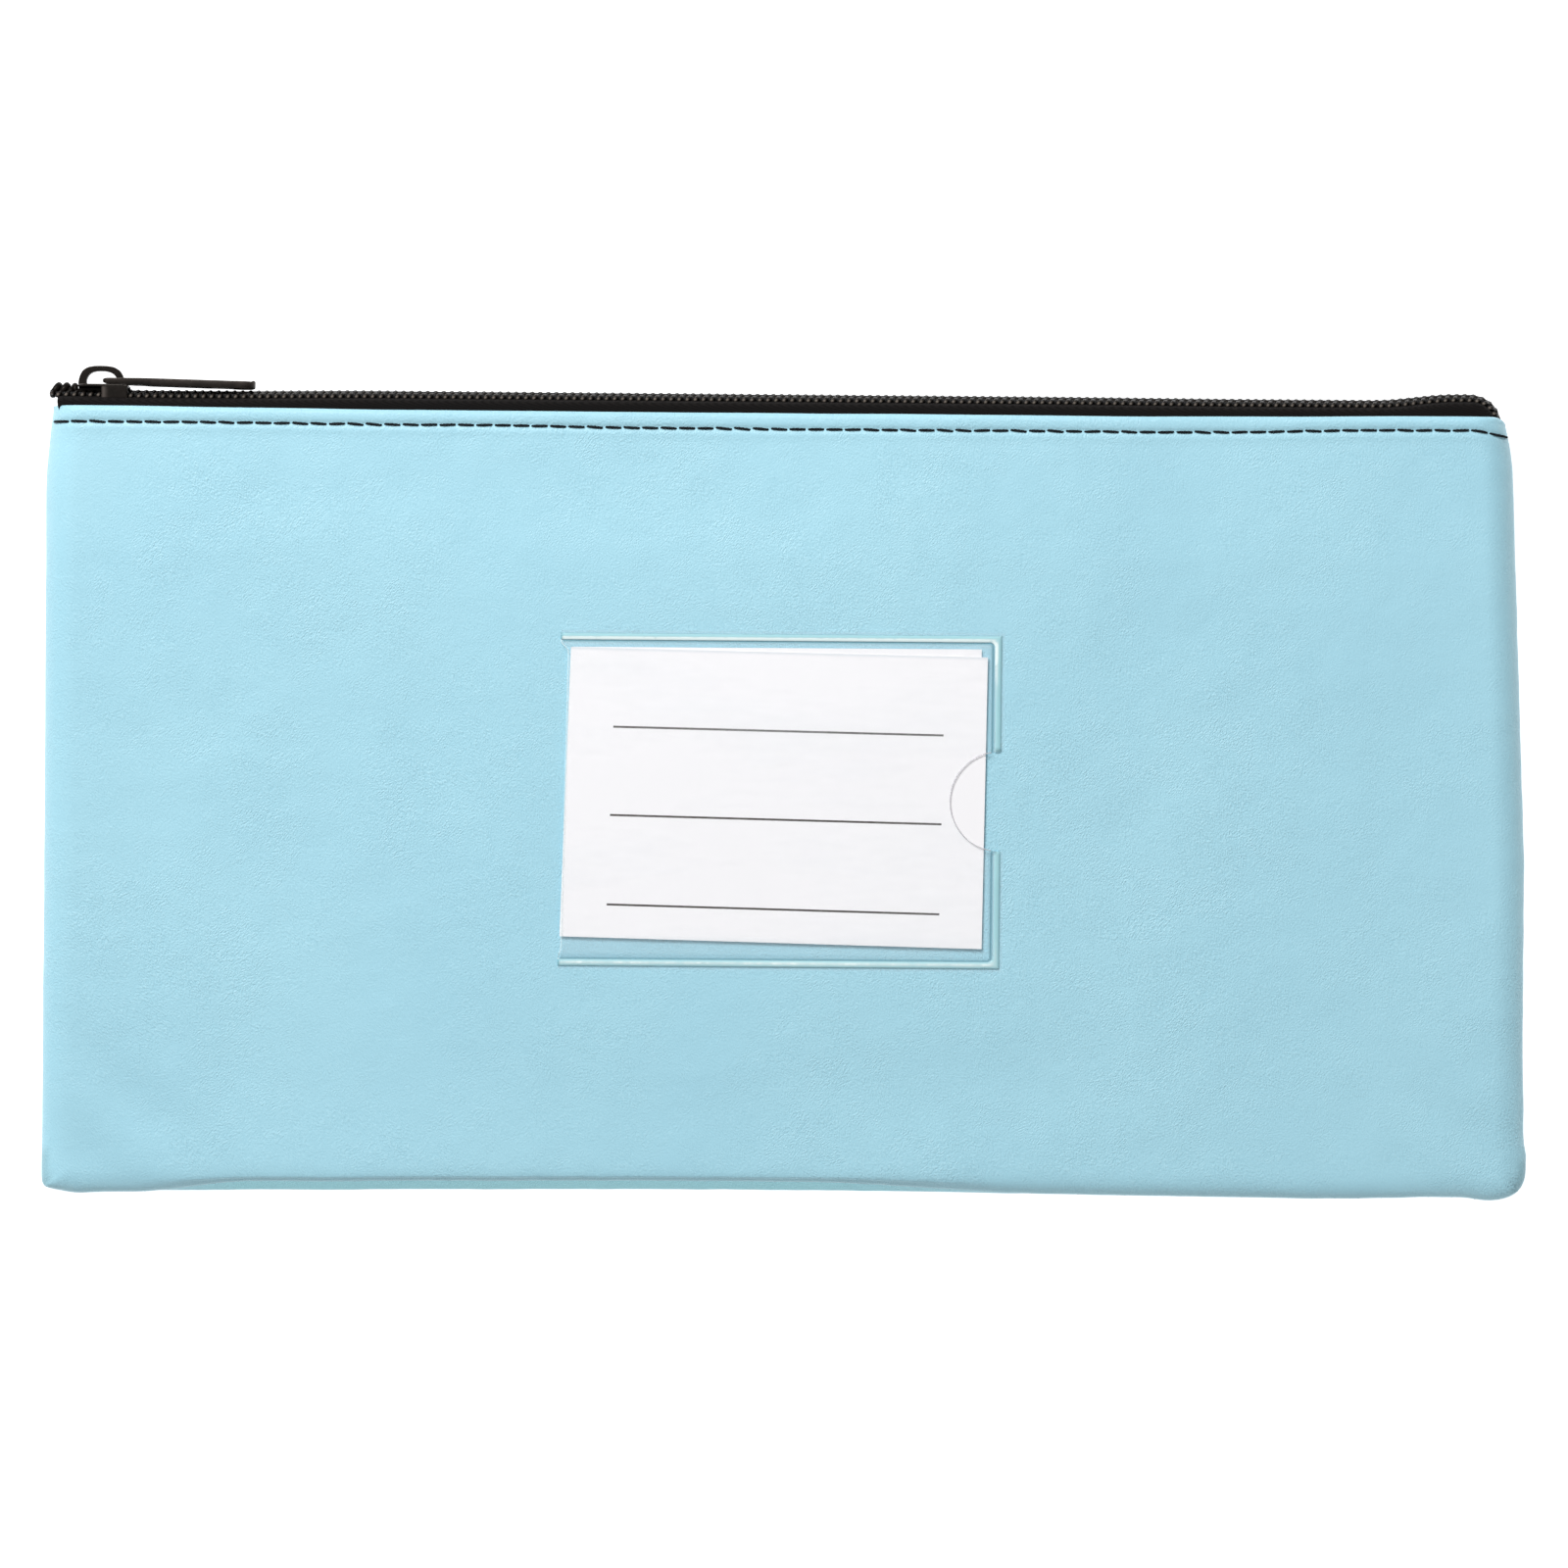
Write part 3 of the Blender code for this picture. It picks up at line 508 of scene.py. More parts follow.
def stitch_height(x):
    left = steps(x, (-0.05, -132, -137.5), (-0.18, -125, -75), (-0.3, -60, -20))
    right = steps(x, (0.25, 60, 120), (0.48, 85, 115), (-1.25, 128.0, 136.5))
    return HEM_Y - HEM_DROP - STITCH_LINE + left + right + 0.08 * wander(x, 1, 21, 5.5)


def seam_show(x):
    """How much of the back panel shows under the front along the bottom, from 0 to 1."""
    a, b = SEAM_SHOW_RANGE
    return smooth(a, a + 22, x) * (1 - 0.85 * smooth(b - 34, b + 14, x)) * (1 - smooth(100, 118, x))


def relief(x, y, face):
    """How far the outer skin stands proud of its even shape. The front lies flat round the window."""
    x0, x1, y0, y1 = WINDOW_BOX
    gap = hypot(max(x0 - x, 0, x - x1), max(y0 - y, 0, y - y1))
    away = smooth(2, 26, gap) if face > 0 else 0.5
    edge = min(x - left_edge(y), right_edge(y) - x, y - bottom_edge(x))
    inner = smooth(0, 22, edge)
    soft = 0.55 * wander(x, y, 58, 3.0 + face) + 0.18 * wander(x, y, 23, 9.0 + face)
    value = away * inner * (soft - 0.25) - 0.75 * peak(abs(x), 88, 34) * peak(y, 0, 46) * away
    value += 0.10 * wander(x, y, 9, 5.0 + face) * smooth(0, 6, edge) * (0.35 + 0.65 * away)
    corner = exp(-((abs(x) - 126) ** 2 + (y + 62) ** 2) / 260)
    value += 0.25 * corner * sin((x * 0.9 + y) / 3.2)
    if face < 0:
        value = min(0.0, value - 0.15 * inner) * 0.6
    return value + hem_relief(x, y)


def hem_relief(x, y):
    """The row of stitches pulls in a groove, deepest at each needle hole, with small puckers beside it."""
    off = abs(y - stitch_height(x))
    if off > 3.2:
        return 0.0
    phase = (x + STITCH_START) / STITCH_PITCH % 1.0
    hole = peak(min(phase, 1 - phase) * STITCH_PITCH, 0, 0.42)
    groove = GROOVE * peak(off, 0, 0.5) * (0.75 + 0.55 * hole)
    return SWELL * peak(off, 1.25, 0.75) * (1 - 0.55 * hole) - groove


def edge_stations(side):
    """(side, inset, base, rise) from the allowance's raw edge to the top of the rolled edge."""
    seam = SEAM_GAP / 2
    made = [(side, ALLOWANCE, seam, 0.0), (side, mix(ALLOWANCE, SEAM_BEND, 0.5), seam, 0.0)]
    for angle in spread(0, pi / 2, 4)[:-1]:
        made.append((side, SEAM_BEND * (1 - sin(angle)), SHOULDER - SEAM_BEND * cos(angle), 0.0))
    power = BOTTOM_POWER if side == "bottom" else 2.0
    for angle in spread(0, pi / 2, 12):
        rise = (1 - cos(angle) ** power) ** (1 / power)
        made.append((side, ROLL * (1 - cos(angle)), SHOULDER, rise))
    return made


def is_under(s):
    return s[2] < SHOULDER - 1e-9


def is_allowance(s):
    return is_under(s) and s[1] > SEAM_BEND + 1e-9


def on_roll(s):
    return s[0] != "middle" and s[3] < 1 - 1e-9


WINDOW_BOX = (-42.0, 40.8, -31.3, 31.3)
MIDDLE = [("middle", share, SHOULDER, 1.0) for share in spread(0, 1, 330)[1:-1]]
COLUMNS = edge_stations("left") + MIDDLE + edge_stations("right")[::-1]
HEM_ZONE = 62.0  # above it the rows are closer
FLAT_ROWS = spread(BOTTOM_Y + ROLL, HEM_ZONE, 62)[1:] + spread(HEM_ZONE, SEAM_TOP, 14)[1:]
HEM_ROWS = spread(SEAM_TOP, HEM_Y - HEM_BEND, 12)[1:]
ROWS = (
    [("edge", s) for s in edge_stations("bottom")]
    + [("body", y) for y in FLAT_ROWS + HEM_ROWS[:-1]]
    + [("fold", a) for a in spread(0, pi, 12)]
    + [("flap", HEM_DEPTH * k / 3) for k in (1, 2, 3)]
)


def corner_insets(column, station):
    flat = [ROLL if is_under(s) else ROLL - s[1] for s in (column, station)]
    power = CORNER_POWER[column[0]]
    norm = (flat[0] ** power + flat[1] ** power) ** (1 / power)
    scale = max(flat) / norm if norm > 0 else 0.0
    under = max(s[1] if is_under(s) else 0.0 for s in (column, station))
    scale *= 1 - under / ROLL
    return [ROLL - reach * scale for reach in flat]


def column_x(column, inset, y):
    left, right = left_edge(y), right_edge(y)
    if column[0] == "middle":
        return mix(left + ROLL, right - ROLL, column[1])
    return left + inset if column[0] == "left" else right - inset


def outward(column, y):
    if not on_roll(column):
        return 0.0, 1.0
    cosine = sqrt(1 - column[3] ** 2)
    normal = Vector((cosine / ROLL, column[3] / (panel_depth(y) - SHOULDER))).normalized()
    return (-normal.x if column[0] == "left" else normal.x), normal.y


def bottom_point(column, station, face):
    """panel_point along the rolled bottom edge."""
    corner = column[0] != "middle"
    insets = corner_insets(column, station) if corner else [0.0, station[1]]
    x = column_x(column, insets[0], BOTTOM_Y + ROLL * 0.5)
    shown = seam_show(x)
    outer = column if corner and (column[3] < station[3] or is_under(column)) else station
    rise = min(outer[3], column[3])
    rolled = 1 - smooth(0.7, 1.0, rise) if face > 0 else max(0.0, 1 - rise / 0.35) ** 1.5
    y = bottom_edge(x) + insets[1] + SEAM_SHOW * shown * rolled
    middle = half_depth(BOTTOM_Y) + SEAM_LIFT * SEAM_SHOW * shown * (1 - rise)
    depth = outer[2] + rise * (half_depth(y) - SHOULDER + relief(x, y, face))
    # painted shade along the bottom crease
    painted_shade, painted_light = mix(smooth(0.82, 0.5, rise), smooth(0.97, 0.75, rise), shown), 0.0
    if face < 0:
        painted_shade *= mix(1.0, smooth(0.35, 0.5, rise), shown)
        # painted light on the back panel's band under the front, which lies in shade
        painted_light = shown * smooth(0.45, 0.3, rise)
    # wear and painted light along the rolled bottom edge
    wear_and_painted_light = 0.7 * smooth(0.1, 0.5, rise) * smooth(1.0, 0.6, rise) * (1 - shown)
    return (x, y, mix(middle, half_depth(y), rise) + face * depth), wear_and_painted_light, painted_shade, painted_light


def panel_point(column, row, face):
    """((x, y, z), wear with painted light, painted shade, painted light) of a point of the outer face, front
    with face 1 and back with -1.
    """
    kind, value = row
    if kind == "edge":
        return bottom_point(column, value, face)
    side, inset, base, rise = column
    y_even = value if kind == "body" else HEM_Y - HEM_BEND
    x = column_x(column, inset, y_even)
    y = y_even - (HEM_Y - hem_line(x)) * smooth(58.0, HEM_Y - HEM_BEND, y_even)
    depth = base + rise * (panel_depth(y_even) - SHOULDER)
    # painted shade where each rolled edge turns in to its seam
    painted_shade = smooth(0.2, 0.0, rise)
    if side == "left":
        # painted shade over the left roll, which faces the key light
        painted_shade = max(painted_shade, 0.12 * smooth(0.98, 0.6, rise) * smooth(-50, 30, y))
    if kind == "body":
        depth += relief(x, y, face) * (rise if y_even < HEM_ZONE else max(rise, FREE))
        # wear and painted light on the right-hand roll
        wear_and_painted_light = 0.8 * smooth(0.1, 0.5, rise) * smooth(1.0, 0.6, rise) if side == "right" else 0.0
        return (x, y, half_depth(y_even) + face * depth), wear_and_painted_light, painted_shade, 0.0
    normal_x, normal_depth = outward(column, y_even)
    angle = value if kind == "fold" else pi
    inward = HEM_BEND * (1 - cos(angle))
    lift = HEM_BEND * sin(angle) if kind == "fold" else -value
    proud = 0.04 * sin((x + STITCH_START) / STITCH_PITCH * 2 * pi) * sin(angle)
    depth += relief(x, y, face) * max(rise, FREE) * max(0.0, cos(angle)) - inward * normal_depth + proud
    # painted shade over the hem's fold, which faces the key light
    painted_shade = max(0.5 * painted_shade, 0.55 * smooth(0.0, 0.9, sin(angle)))
    tuck = {"left": 0.0, "right": 0.6}.get(side, 1.0)
    place = (x - inward * normal_x * tuck, y + lift, half_depth(y_even) + face * depth)
    # wear and painted light on the fold's crest
    return place, 0.3 * sin(angle) ** 2, painted_shade, 0.0


def panel_keeps(columns, rows):
    """Whether a quad between these two columns and rows belongs to the cut sheet."""
    under_column, allowance_column, rolled_column = (
        any(test(c) for c in columns) for test in (is_under, is_allowance, on_roll)
    )
    low, high = rows
    if low[0] == "edge":
        stations = [r[1] for r in rows if r[0] == "edge"]
        if under_column and any(is_under(s) for s in stations) or allowance_column and high[0] == "edge":
            return False
        return not (rolled_column and any(is_allowance(s) for s in stations))
    if high[0] == "body" or (low[0] == "body" and high[0] == "fold"):
        top = high[1] if high[0] == "body" else HEM_Y
        return not (allowance_column and top > SEAM_TOP + 1e-6)
    past_top = high[0] == "flap" or high[1] > pi / 2 + 1e-9
    return not (under_column or past_top and rolled_column)


def make_panel(side, face):
    places, wear_and_painted_light, painted_shade, painted_light = zip(*(panel_point(column, row, face) for column in COLUMNS for row in ROWS))

    def keep(i, j):
        return panel_keeps(COLUMNS[i : i + 2], ROWS[j : j + 2])

    faces = grid_faces(len(COLUMNS), len(ROWS), keep, flip=face < 0)
    layers = {"wear_and_painted_light": wear_and_painted_light, "painted_shade": painted_shade, "painted_light": painted_light, "inside": [0.0] * len(places)}
    made = add_mesh(f"{side}_leather", places, faces, SKIN, f"{side}_panel", layers)
    tidy(made)
    modify(
        made, "SOLIDIFY", thickness=LEATHER * MM, offset=-1, use_even_offset=True,
        use_quality_normals=True, shell_vertex_group=made.vertex_groups.new(name="backing").name,
    )
    paint_backing(made)


def paint_backing(made):
    """The wall's inner points take the colour of the cloth backing."""
    layer = made.data.attributes["inside"].data
    for vertex in made.data.vertices:
        if any(g.weight > 0.5 for g in vertex.groups):
            layer[vertex.index].value = 1.0
    made.vertex_groups.clear()


# Stitches


def thread_stitch(bundle, where, radius, rise=0.2, sunk=0.34):
    """One stitch of three twisted plies; where(share) gives (place, outwards) between its needle holes."""
    along = (where(1.0)[0] - where(0.0)[0]).normalized()
    for ply in range(3):
        path, radii = [], []
        for share in spread(0, 1, 18):
            place, out = where(share)
            across = along.cross(out).normalized()
            arch = sin(pi * share)
            place = place + out * ((sunk + rise) * min(1.0, arch * 2.6) - sunk)
            twist = 2 * pi * (share * 1.6 + ply / 3)
            path.append(place + (across * cos(twist) + out * sin(twist)) * radius * 0.28)
            radii.append(radius * (0.4 + 0.28 * arch))
        bundle.add(*sweep(path, radii, 6))


def straight(start, end, out):
    return lambda share: (start.lerp(end, share), out)


def skin_point(x, y, face):
    """The outer face's place over the hem, over its flat part and down its rolled ends, and its outwards."""
    inset = min(x - left_edge(y), right_edge(y) - x)
    over = 1 - min(max(inset, 0.0), ROLL) / ROLL
    rise = sqrt(1 - over**2)
    depth = SHOULDER + rise * (panel_depth(y) - SHOULDER) + relief(x, y, face) * max(rise, FREE)
    out = Vector((copysign(over, x), 0, face * max(rise, 0.2))).normalized()
    return Vector((x, y, half_depth(y) + face * depth)), out


def needle_holes(low, high):
    """Places along the hem where the needle went through, the row's ends included."""
    first = ceil((low + 1.7 + STITCH_START) / STITCH_PITCH)
    last = floor((high - 1.7 + STITCH_START) / STITCH_PITCH)
    return [low] + [k * STITCH_PITCH - STITCH_START for k in range(first, last + 1)] + [high]


def make_topstitch(side, face):
    bundle = Bundle()
    holes = needle_holes(left_edge(70) + 0.5, right_edge(69) - 0.4)
    for a, b in zip(holes, holes[1:]):
        tilt = 0.05 + RANDOM.uniform(-0.13, 0.13)

        def where(share, a=a, b=b, tilt=tilt):
            x = mix(a + 0.03, b - 0.03, share)
            return skin_point(x, stitch_height(x) + tilt * (1 - 2 * share), face)

        thread_stitch(bundle, where, 0.27)
    bundle.finish(f"{side}_stitches", BLACK_THREAD, f"{side}_topstitch")


def make_bobbin_row(side, face):
    """The row's second thread, on the tape's face inside the bag."""
    bundle = Bundle()
    z = ZIP_Z + face * (TAPE_LEG - TAPE - 0.12)
    holes = needle_holes(-130.5, 127.5)
    for a, b in zip(holes, holes[1:]):
        ends = Vector((a + 0.2, stitch_height(a), z)), Vector((b - 0.2, stitch_height(b), z))
        thread_stitch(bundle, straight(*ends, -face * Z), 0.24, 0.05, 0.2)
    bundle.finish(f"{side}_bobbin_stitches", BLACK_THREAD, f"{side}_bobbin_thread")


SEAM_PITCH = 4.4
SEAM_INSET = 0.55  # the side seams' crossings lie this far inside the edge


def make_seam_rows():
    """Thread of the three seams: short crossings between the panels, just inside the pinched edge."""
    for side, edge, inward in (("left", left_edge, 1), ("right", right_edge, -1)):
        bundle = Bundle()
        for y in (-65.0 + k * SEAM_PITCH for k in range(30)):
            centre = Vector((edge(y) + inward * SEAM_INSET, y, half_depth(y)))
            crossing(bundle, centre, Y, -inward * X)
        bundle.finish(f"{side}_seam_stitches", BLUE_THREAD, f"{side}_seam_thread")
    bundle = Bundle()
    for x in (-133.0 + k * SEAM_PITCH for k in range(61)):
        show = SEAM_SHOW * seam_show(x)
        centre = Vector((x, bottom_edge(x) + 0.35 + show, half_depth(BOTTOM_Y) + SEAM_LIFT * show))
        crossing(bundle, centre, X, -Y)
    bundle.finish("bottom_seam_stitches", BLUE_THREAD, "bottom_seam_thread")


def crossing(bundle, centre, along, out):
    """A short length of thread that crosses the seam's gap from one panel to the other."""
    path = [
        centre + Z * 0.62 * sin(a) + out * 0.42 * (cos(a) - 0.35) + along * 0.22 * a
        for a in spread(-1.25, 1.25, 8)
    ]
    bundle.add(*sweep(path, 0.2, 6))


# Zip

CHAIN_RISES, CHAIN_TURNS = 109.5, 128.5  # where the chain starts to arch up, and to turn down into the bag


def chain_line():
    """The coils' centre line seen along Z as a fine list of (x, y)."""
    points = [(x, COIL_Y + 0.16) for x in spread(-138.3, -133.0, 12)[:-1]]
    for x in spread(-133.0, CHAIN_RISES, 120)[:-1]:
        points.append((x, COIL_Y - sink(x) + 0.18 * (1 - smooth(-126, -122, x))))
    low, high = COIL_Y - sink(CHAIN_RISES), COIL_Y + 1.12
    for share in spread(0, 1, 30)[:-1]:
        points.append((mix(CHAIN_RISES, 125.5, share), mix(low, high, smooth(0.04, 1.04, share) ** 1.05)))
    for angle in spread(0, pi / 2, 16)[:-1]:
        points.append((CHAIN_TURNS + 5.15 * sin(angle), high - 4.3 * (1 - cos(angle))))
    return points + [(133.65, 72.1), (133.5, 71.2)]


def sink(x):
    """The closed chain sits a little lower towards its right end."""
    return 0.02 + steps(x, (0.2, -118, 90), (-0.26, -108, -76), (0.14, 45, 90))


LINE = [Vector(point) for point in chain_line()]
LINE_X, LINE_Y = np.array(LINE).T
LINE_S = np.array([0.0, *accumulate((after - before).length for before, after in zip(LINE, LINE[1:]))])
# The chain's raised right end is made as pieces of its own
SPLIT_X, RISING = 111.3, slice(0, 150)  # RISING holds the points before the line turns down
SPLIT = float(np.interp(SPLIT_X, LINE_X[RISING], LINE_S[RISING]))
PARTS = {"": (0.0, SPLIT), "_end": (SPLIT, LINE_S[-1])}


def press(made, part):
    """Gives each piece of the chain's raised right end a mesh of its own."""
    if part:
        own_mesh(made)


def chain_at(s):
    """(place, direction) on the chain's centre line at a running length."""
    here, behind, ahead = (
        Vector((np.interp(t, LINE_S, LINE_X), np.interp(t, LINE_S, LINE_Y)))
        for t in (s, max(s - 0.4, 0.0), min(s + 0.4, LINE_S[-1]))
    )
    return here, (ahead - behind).normalized()


def beside(s, width, height, face, lean=LEAN):
    here, along = chain_at(s)
    out = face * width * cos(lean) + height * sin(lean)
    up = height * cos(lean) - face * width * sin(lean)
    return Vector((here.x - along.y * up, here.y + along.x * up, ZIP_Z + out))


def bunched(s, face):
    """1 in the gathered left end of the rear coil, 0 along the rest and in the front one."""
    return smooth(5.6, 3.9, s) if face < 0 else 0.0


def rounded(value, power):
    """A sine or cosine squared off, so that a loop's sides and top are flatter."""
    return copysign(abs(value) ** power, value)


ROPE_RADIUS, ROPE_FILAMENT, ROPE_LIFT = 0.92, 0.62, 0.5
TURN_STEPS, WIRE_SIDES = 16, 9
SEWING_START, SEWING_STITCH, SEWING_PITCH = 8.0, 2.0, 2.35


def make_coil(side, face, part, low, high):
    """The monofilament's turns: flattened loops; the rear coil is gathered into a rope at its left end."""
    half, wire = (COIL_HALF, FILAMENT) if face > 0 else (COIL_HALF - 0.08, FILAMENT + 0.08)
    path, radii, spots = [], [], []
    for k in range(ceil(low / PITCH * TURN_STEPS), floor(high / PITCH * TURN_STEPS) + 1):
        turn = k / TURN_STEPS
        angle = 2 * pi * (turn if face > 0 else turn + 0.5)
        cosine, sine = cos(angle), sin(angle)
        s = (turn + 0.07 * sine * max(0.0, cosine)) * PITCH
        bunch = bunched(s, face)
        width = mix(COIL_MIDDLE + COIL_REACH * rounded(cosine, 0.8), ROPE_RADIUS * cosine, bunch)
        height = mix(half * rounded(sine, 0.8), ROPE_LIFT + ROPE_RADIUS * sine, bunch)
        s = min(max(s + 0.3 * bunch * ROPE_RADIUS * sine, 0.3), LINE_S[-1])
        path.append(beside(s, width, height, face if bunch < 1 else 1, mix(LEAN, 0.0, bunch)))
        radii.append(mix(wire * (1 + 0.2 * smooth(-0.55, -0.95, cosine)), ROPE_FILAMENT, bunch))
        # painted highlight spots on the front turns
        spots.append(painted_gleam_at(turn % 1.0) if face > 0 else 0.0)
    points, faces = sweep(path, radii, WIRE_SIDES)
    painted_gleam = [
        spots[k // WIRE_SIDES] * max(0.0, (point - path[k // WIRE_SIDES]).normalized().z) ** 2
        for k, point in enumerate(points)
    ]
    name = f"{side}_coil_turns{part}"
    return add_mesh(name, points, faces, NYLON, f"{side}_zip_coil", {"painted_gleam": painted_gleam})


def painted_gleam_at(share):
    """Painted highlights on a front turn: on its outer bend and on its front leg."""
    return max(peak(min(share, 1 - share), 0, 0.045), 0.85 * peak(share, 0.33, 0.05))


def make_coil_core(side, face, part, low, high):
    """The filler cord inside the coil."""
    path, radii = [], []
    for s in spread(max(low, 1.0), high - 0.4 * bool(part), 40 if part else 220):
        bunch = bunched(s, face)
        path.append(beside(s, mix(COIL_MIDDLE, 0.0, bunch), ROPE_LIFT * bunch, face, LEAN * (1 - bunch)))
        radii.append(mix(0.4 if face > 0 else 0.52, 0.62, bunch))
    name = f"{side}_coil_core{part}"
    return add_mesh(name, *sweep(path, radii), CORD_COTTON, f"{side}_coil_cord")


def make_coil_sewing(side, face, part, low, high):
    """The sewing that holds the coil down, as short stitches on the tape's inner side."""
    bundle = Bundle()
    drop = -(COIL_HALF + FILAMENT + TAPE + 0.12)
    s = max(SEWING_START, low)
    while s < min(high - SEWING_STITCH, LINE_S[-1] - 14):
        start, end = (beside(t, COIL_MIDDLE, drop, face) for t in (s, s + SEWING_STITCH))
        thread_stitch(bundle, straight(start, end, -Y), 0.15, 0.03, 0.18)
        s += SEWING_PITCH
    return bundle.finish(f"{side}_coil_sewing{part}", BLACK_THREAD, f"{side}_coil_thread")


TAPE_BEND = 0.6
TAPE_FLAT = (0.42, 1.3, 2.2, 3.1, 3.8, TAPE_LEG - TAPE_BEND)
LEG_SHARES = (0.06, 0.13, 0.22, 0.33, 0.46, 0.62, 0.8, 1.0)
TAPE_FOOT = 61.0


def make_tape(side, face, part, low, high):
    """Woven tape: flat under the coil, then bent down into the bag."""
    drop = -(COIL_HALF + FILAMENT + 0.02)
    edge = drop * cos(LEAN) - face * TAPE_FLAT[-1] * sin(LEAN)
    columns = spread(max(low, 1.6), high, 64 if part else 380)
    points = []
    for s in columns:
        here, along = chain_at(s)
        points.extend(beside(s, width, drop, face) for width in TAPE_FLAT)
        flat_z = points[-1].z
        for angle in spread(0, pi / 2, 5)[1:]:
            up = edge - TAPE_BEND * (1 - cos(angle))
            out = mix(flat_z, ZIP_Z + face * TAPE_LEG, sin(angle))
            points.append(Vector((here.x - along.y * up, here.y + along.x * up, out)))
        base_x, base_y, _ = points[-1]
        foot_x = min(max(here.x, -133.4), 129.4)
        for share in LEG_SHARES:
            x, y = mix(base_x, foot_x, smooth(0, 0.6, share)), mix(base_y, TAPE_FOOT, share)
            ripple = 0.06 * wander(x, y, 7, 3 + face) * share
            points.append(Vector((x, y, ZIP_Z + face * (TAPE_LEG + ripple))))
    faces = grid_faces(len(columns), len(points) // len(columns), flip=face < 0)
    made = add_mesh(f"{side}_tape{part}", points, faces, TAPE_CLOTH, f"{side}_zip_tape")
    return modify(made, "SOLIDIFY", thickness=TAPE * MM, offset=-1, use_quality_normals=True)


# Slider and pull


def outline_points(corners, radii, steps=8):
    """A closed outline through corners, anticlockwise, each rounded by its radius."""
    made = []
    for k, (corner, radius) in enumerate(zip(corners, radii)):
        corner = Vector(corner)
        before = (Vector(corners[k - 1]) - corner).normalized()
        after = (Vector(corners[(k + 1) % len(corners)]) - corner).normalized()
        half = before.angle(after) / 2
        centre = corner + (before + after).normalized() * radius / sin(half)
        start = corner + before * radius / tan(half) - centre
        for share in spread(0, 1, steps):
            made.append(centre + Matrix.Rotation((pi - 2 * half) * share, 2) @ start)
    return made


def mirrored(half):
    """Corners below the x axis, left to right, and the same above it on the way back."""
    return half + [(x, -y) for x, y in half[::-1]]


def ring(centre, radius, count):
    angles = spread(0, 2 * pi, count)[:-1]
    return [Vector((centre + radius * cos(angle), radius * sin(angle))) for angle in angles]


def from_bm(name, bm):
    mesh = bpy.data.meshes.new(name)
    bm.to_mesh(mesh)
    bm.free()
    return placed(name, mesh)


def plate(name, outlines, thickness, bevel, place=Matrix.Identity(4), segments=3):
    """A working object: a flat plate in XY with holes and bevelled edges, half its thickness each way."""
    curve = bpy.data.curves.new(name, "CURVE")
    curve.dimensions, curve.fill_mode, curve.extrude = "2D", "BOTH", thickness / 2
    for outline in outlines:
        spline = curve.splines.new("POLY")
        spline.points.add(len(outline) - 1)
        for point, (x, y) in zip(spline.points, outline):
            point.co = (x, y, 0, 1)
        spline.use_cyclic_u = True
    drawn = placed(name, curve)
    mesh = evaluated_mesh(drawn)
    bpy.data.objects.remove(drawn)
    bm = bmesh.new()
    bm.from_mesh(mesh)
    bpy.data.meshes.remove(mesh)
    bmesh.ops.remove_doubles(bm, verts=bm.verts, dist=1e-5)
    bmesh.ops.dissolve_limit(bm, angle_limit=0.01, verts=bm.verts, edges=bm.edges)
    bmesh.ops.recalc_face_normals(bm, faces=bm.faces)
    bmesh.ops.transform(bm, matrix=Matrix.Scale(MM, 4) @ place, verts=bm.verts)
    made = from_bm(name, bm)
    if bevel:
        modify(
            made, "BEVEL", width=bevel * MM, segments=segments, limit_method="ANGLE",
            angle_limit=radians(40),
        )
    return made


def zip_plate(name, corners, radii, low, high, bevel, steps=8):
    """A plate drawn across the zip (x along it, y out of the front) between two heights."""
    upright = Matrix.Translation((0, (low + high) / 2, ZIP_Z)) @ Matrix.Rotation(pi / 2, 4, "X")
    return plate(name, [outline_points(corners, radii, steps)], high - low, bevel, upright)


def merge(name, parts, voxel):
    """Fuses parts into one skin with softened joins, as one casting."""
    bm = bmesh.new()
    for part in parts:
        bm.from_mesh(part.data)
        bpy.data.objects.remove(part)
    made = from_bm(name, bm)
    modify(made, "REMESH", mode="VOXEL", voxel_size=voxel * MM)
    modify(made, "SMOOTH", iterations=4, factor=0.5)
    return modify(made, "DECIMATE", ratio=0.45)


def paint_edges(made, more):
    """A layer of wear and painted light: wear from how sharply the surface bends outwards, and painted
    highlights from more(x, y, z) in millimetres.
    """
    bm = bmesh.new()
    bm.from_mesh(made.data)
    bm.normal_update()
    near = [[edge.other_vert(v) for edge in v.link_edges] for v in bm.verts]
    values = [
        sum((v.co - other.co).normalized().dot(v.normal) for other in others) / max(1, len(others))
        for v, others in zip(bm.verts, near)
    ]
    for _ in range(2):
        values = [
            (value + sum(values[other.index] for other in others)) / (1 + len(others))
            for value, others in zip(values, near)
        ]
    edges = [min(1.0, max(0.0, value * 3.2 - 0.12)) for value in values]
    wear_and_painted_light = [min(1.0, edge + more(*(v.co / MM))) for edge, v in zip(edges, bm.verts)]
    bm.free()
    set_layer(made.data, "wear_and_painted_light", wear_and_painted_light)


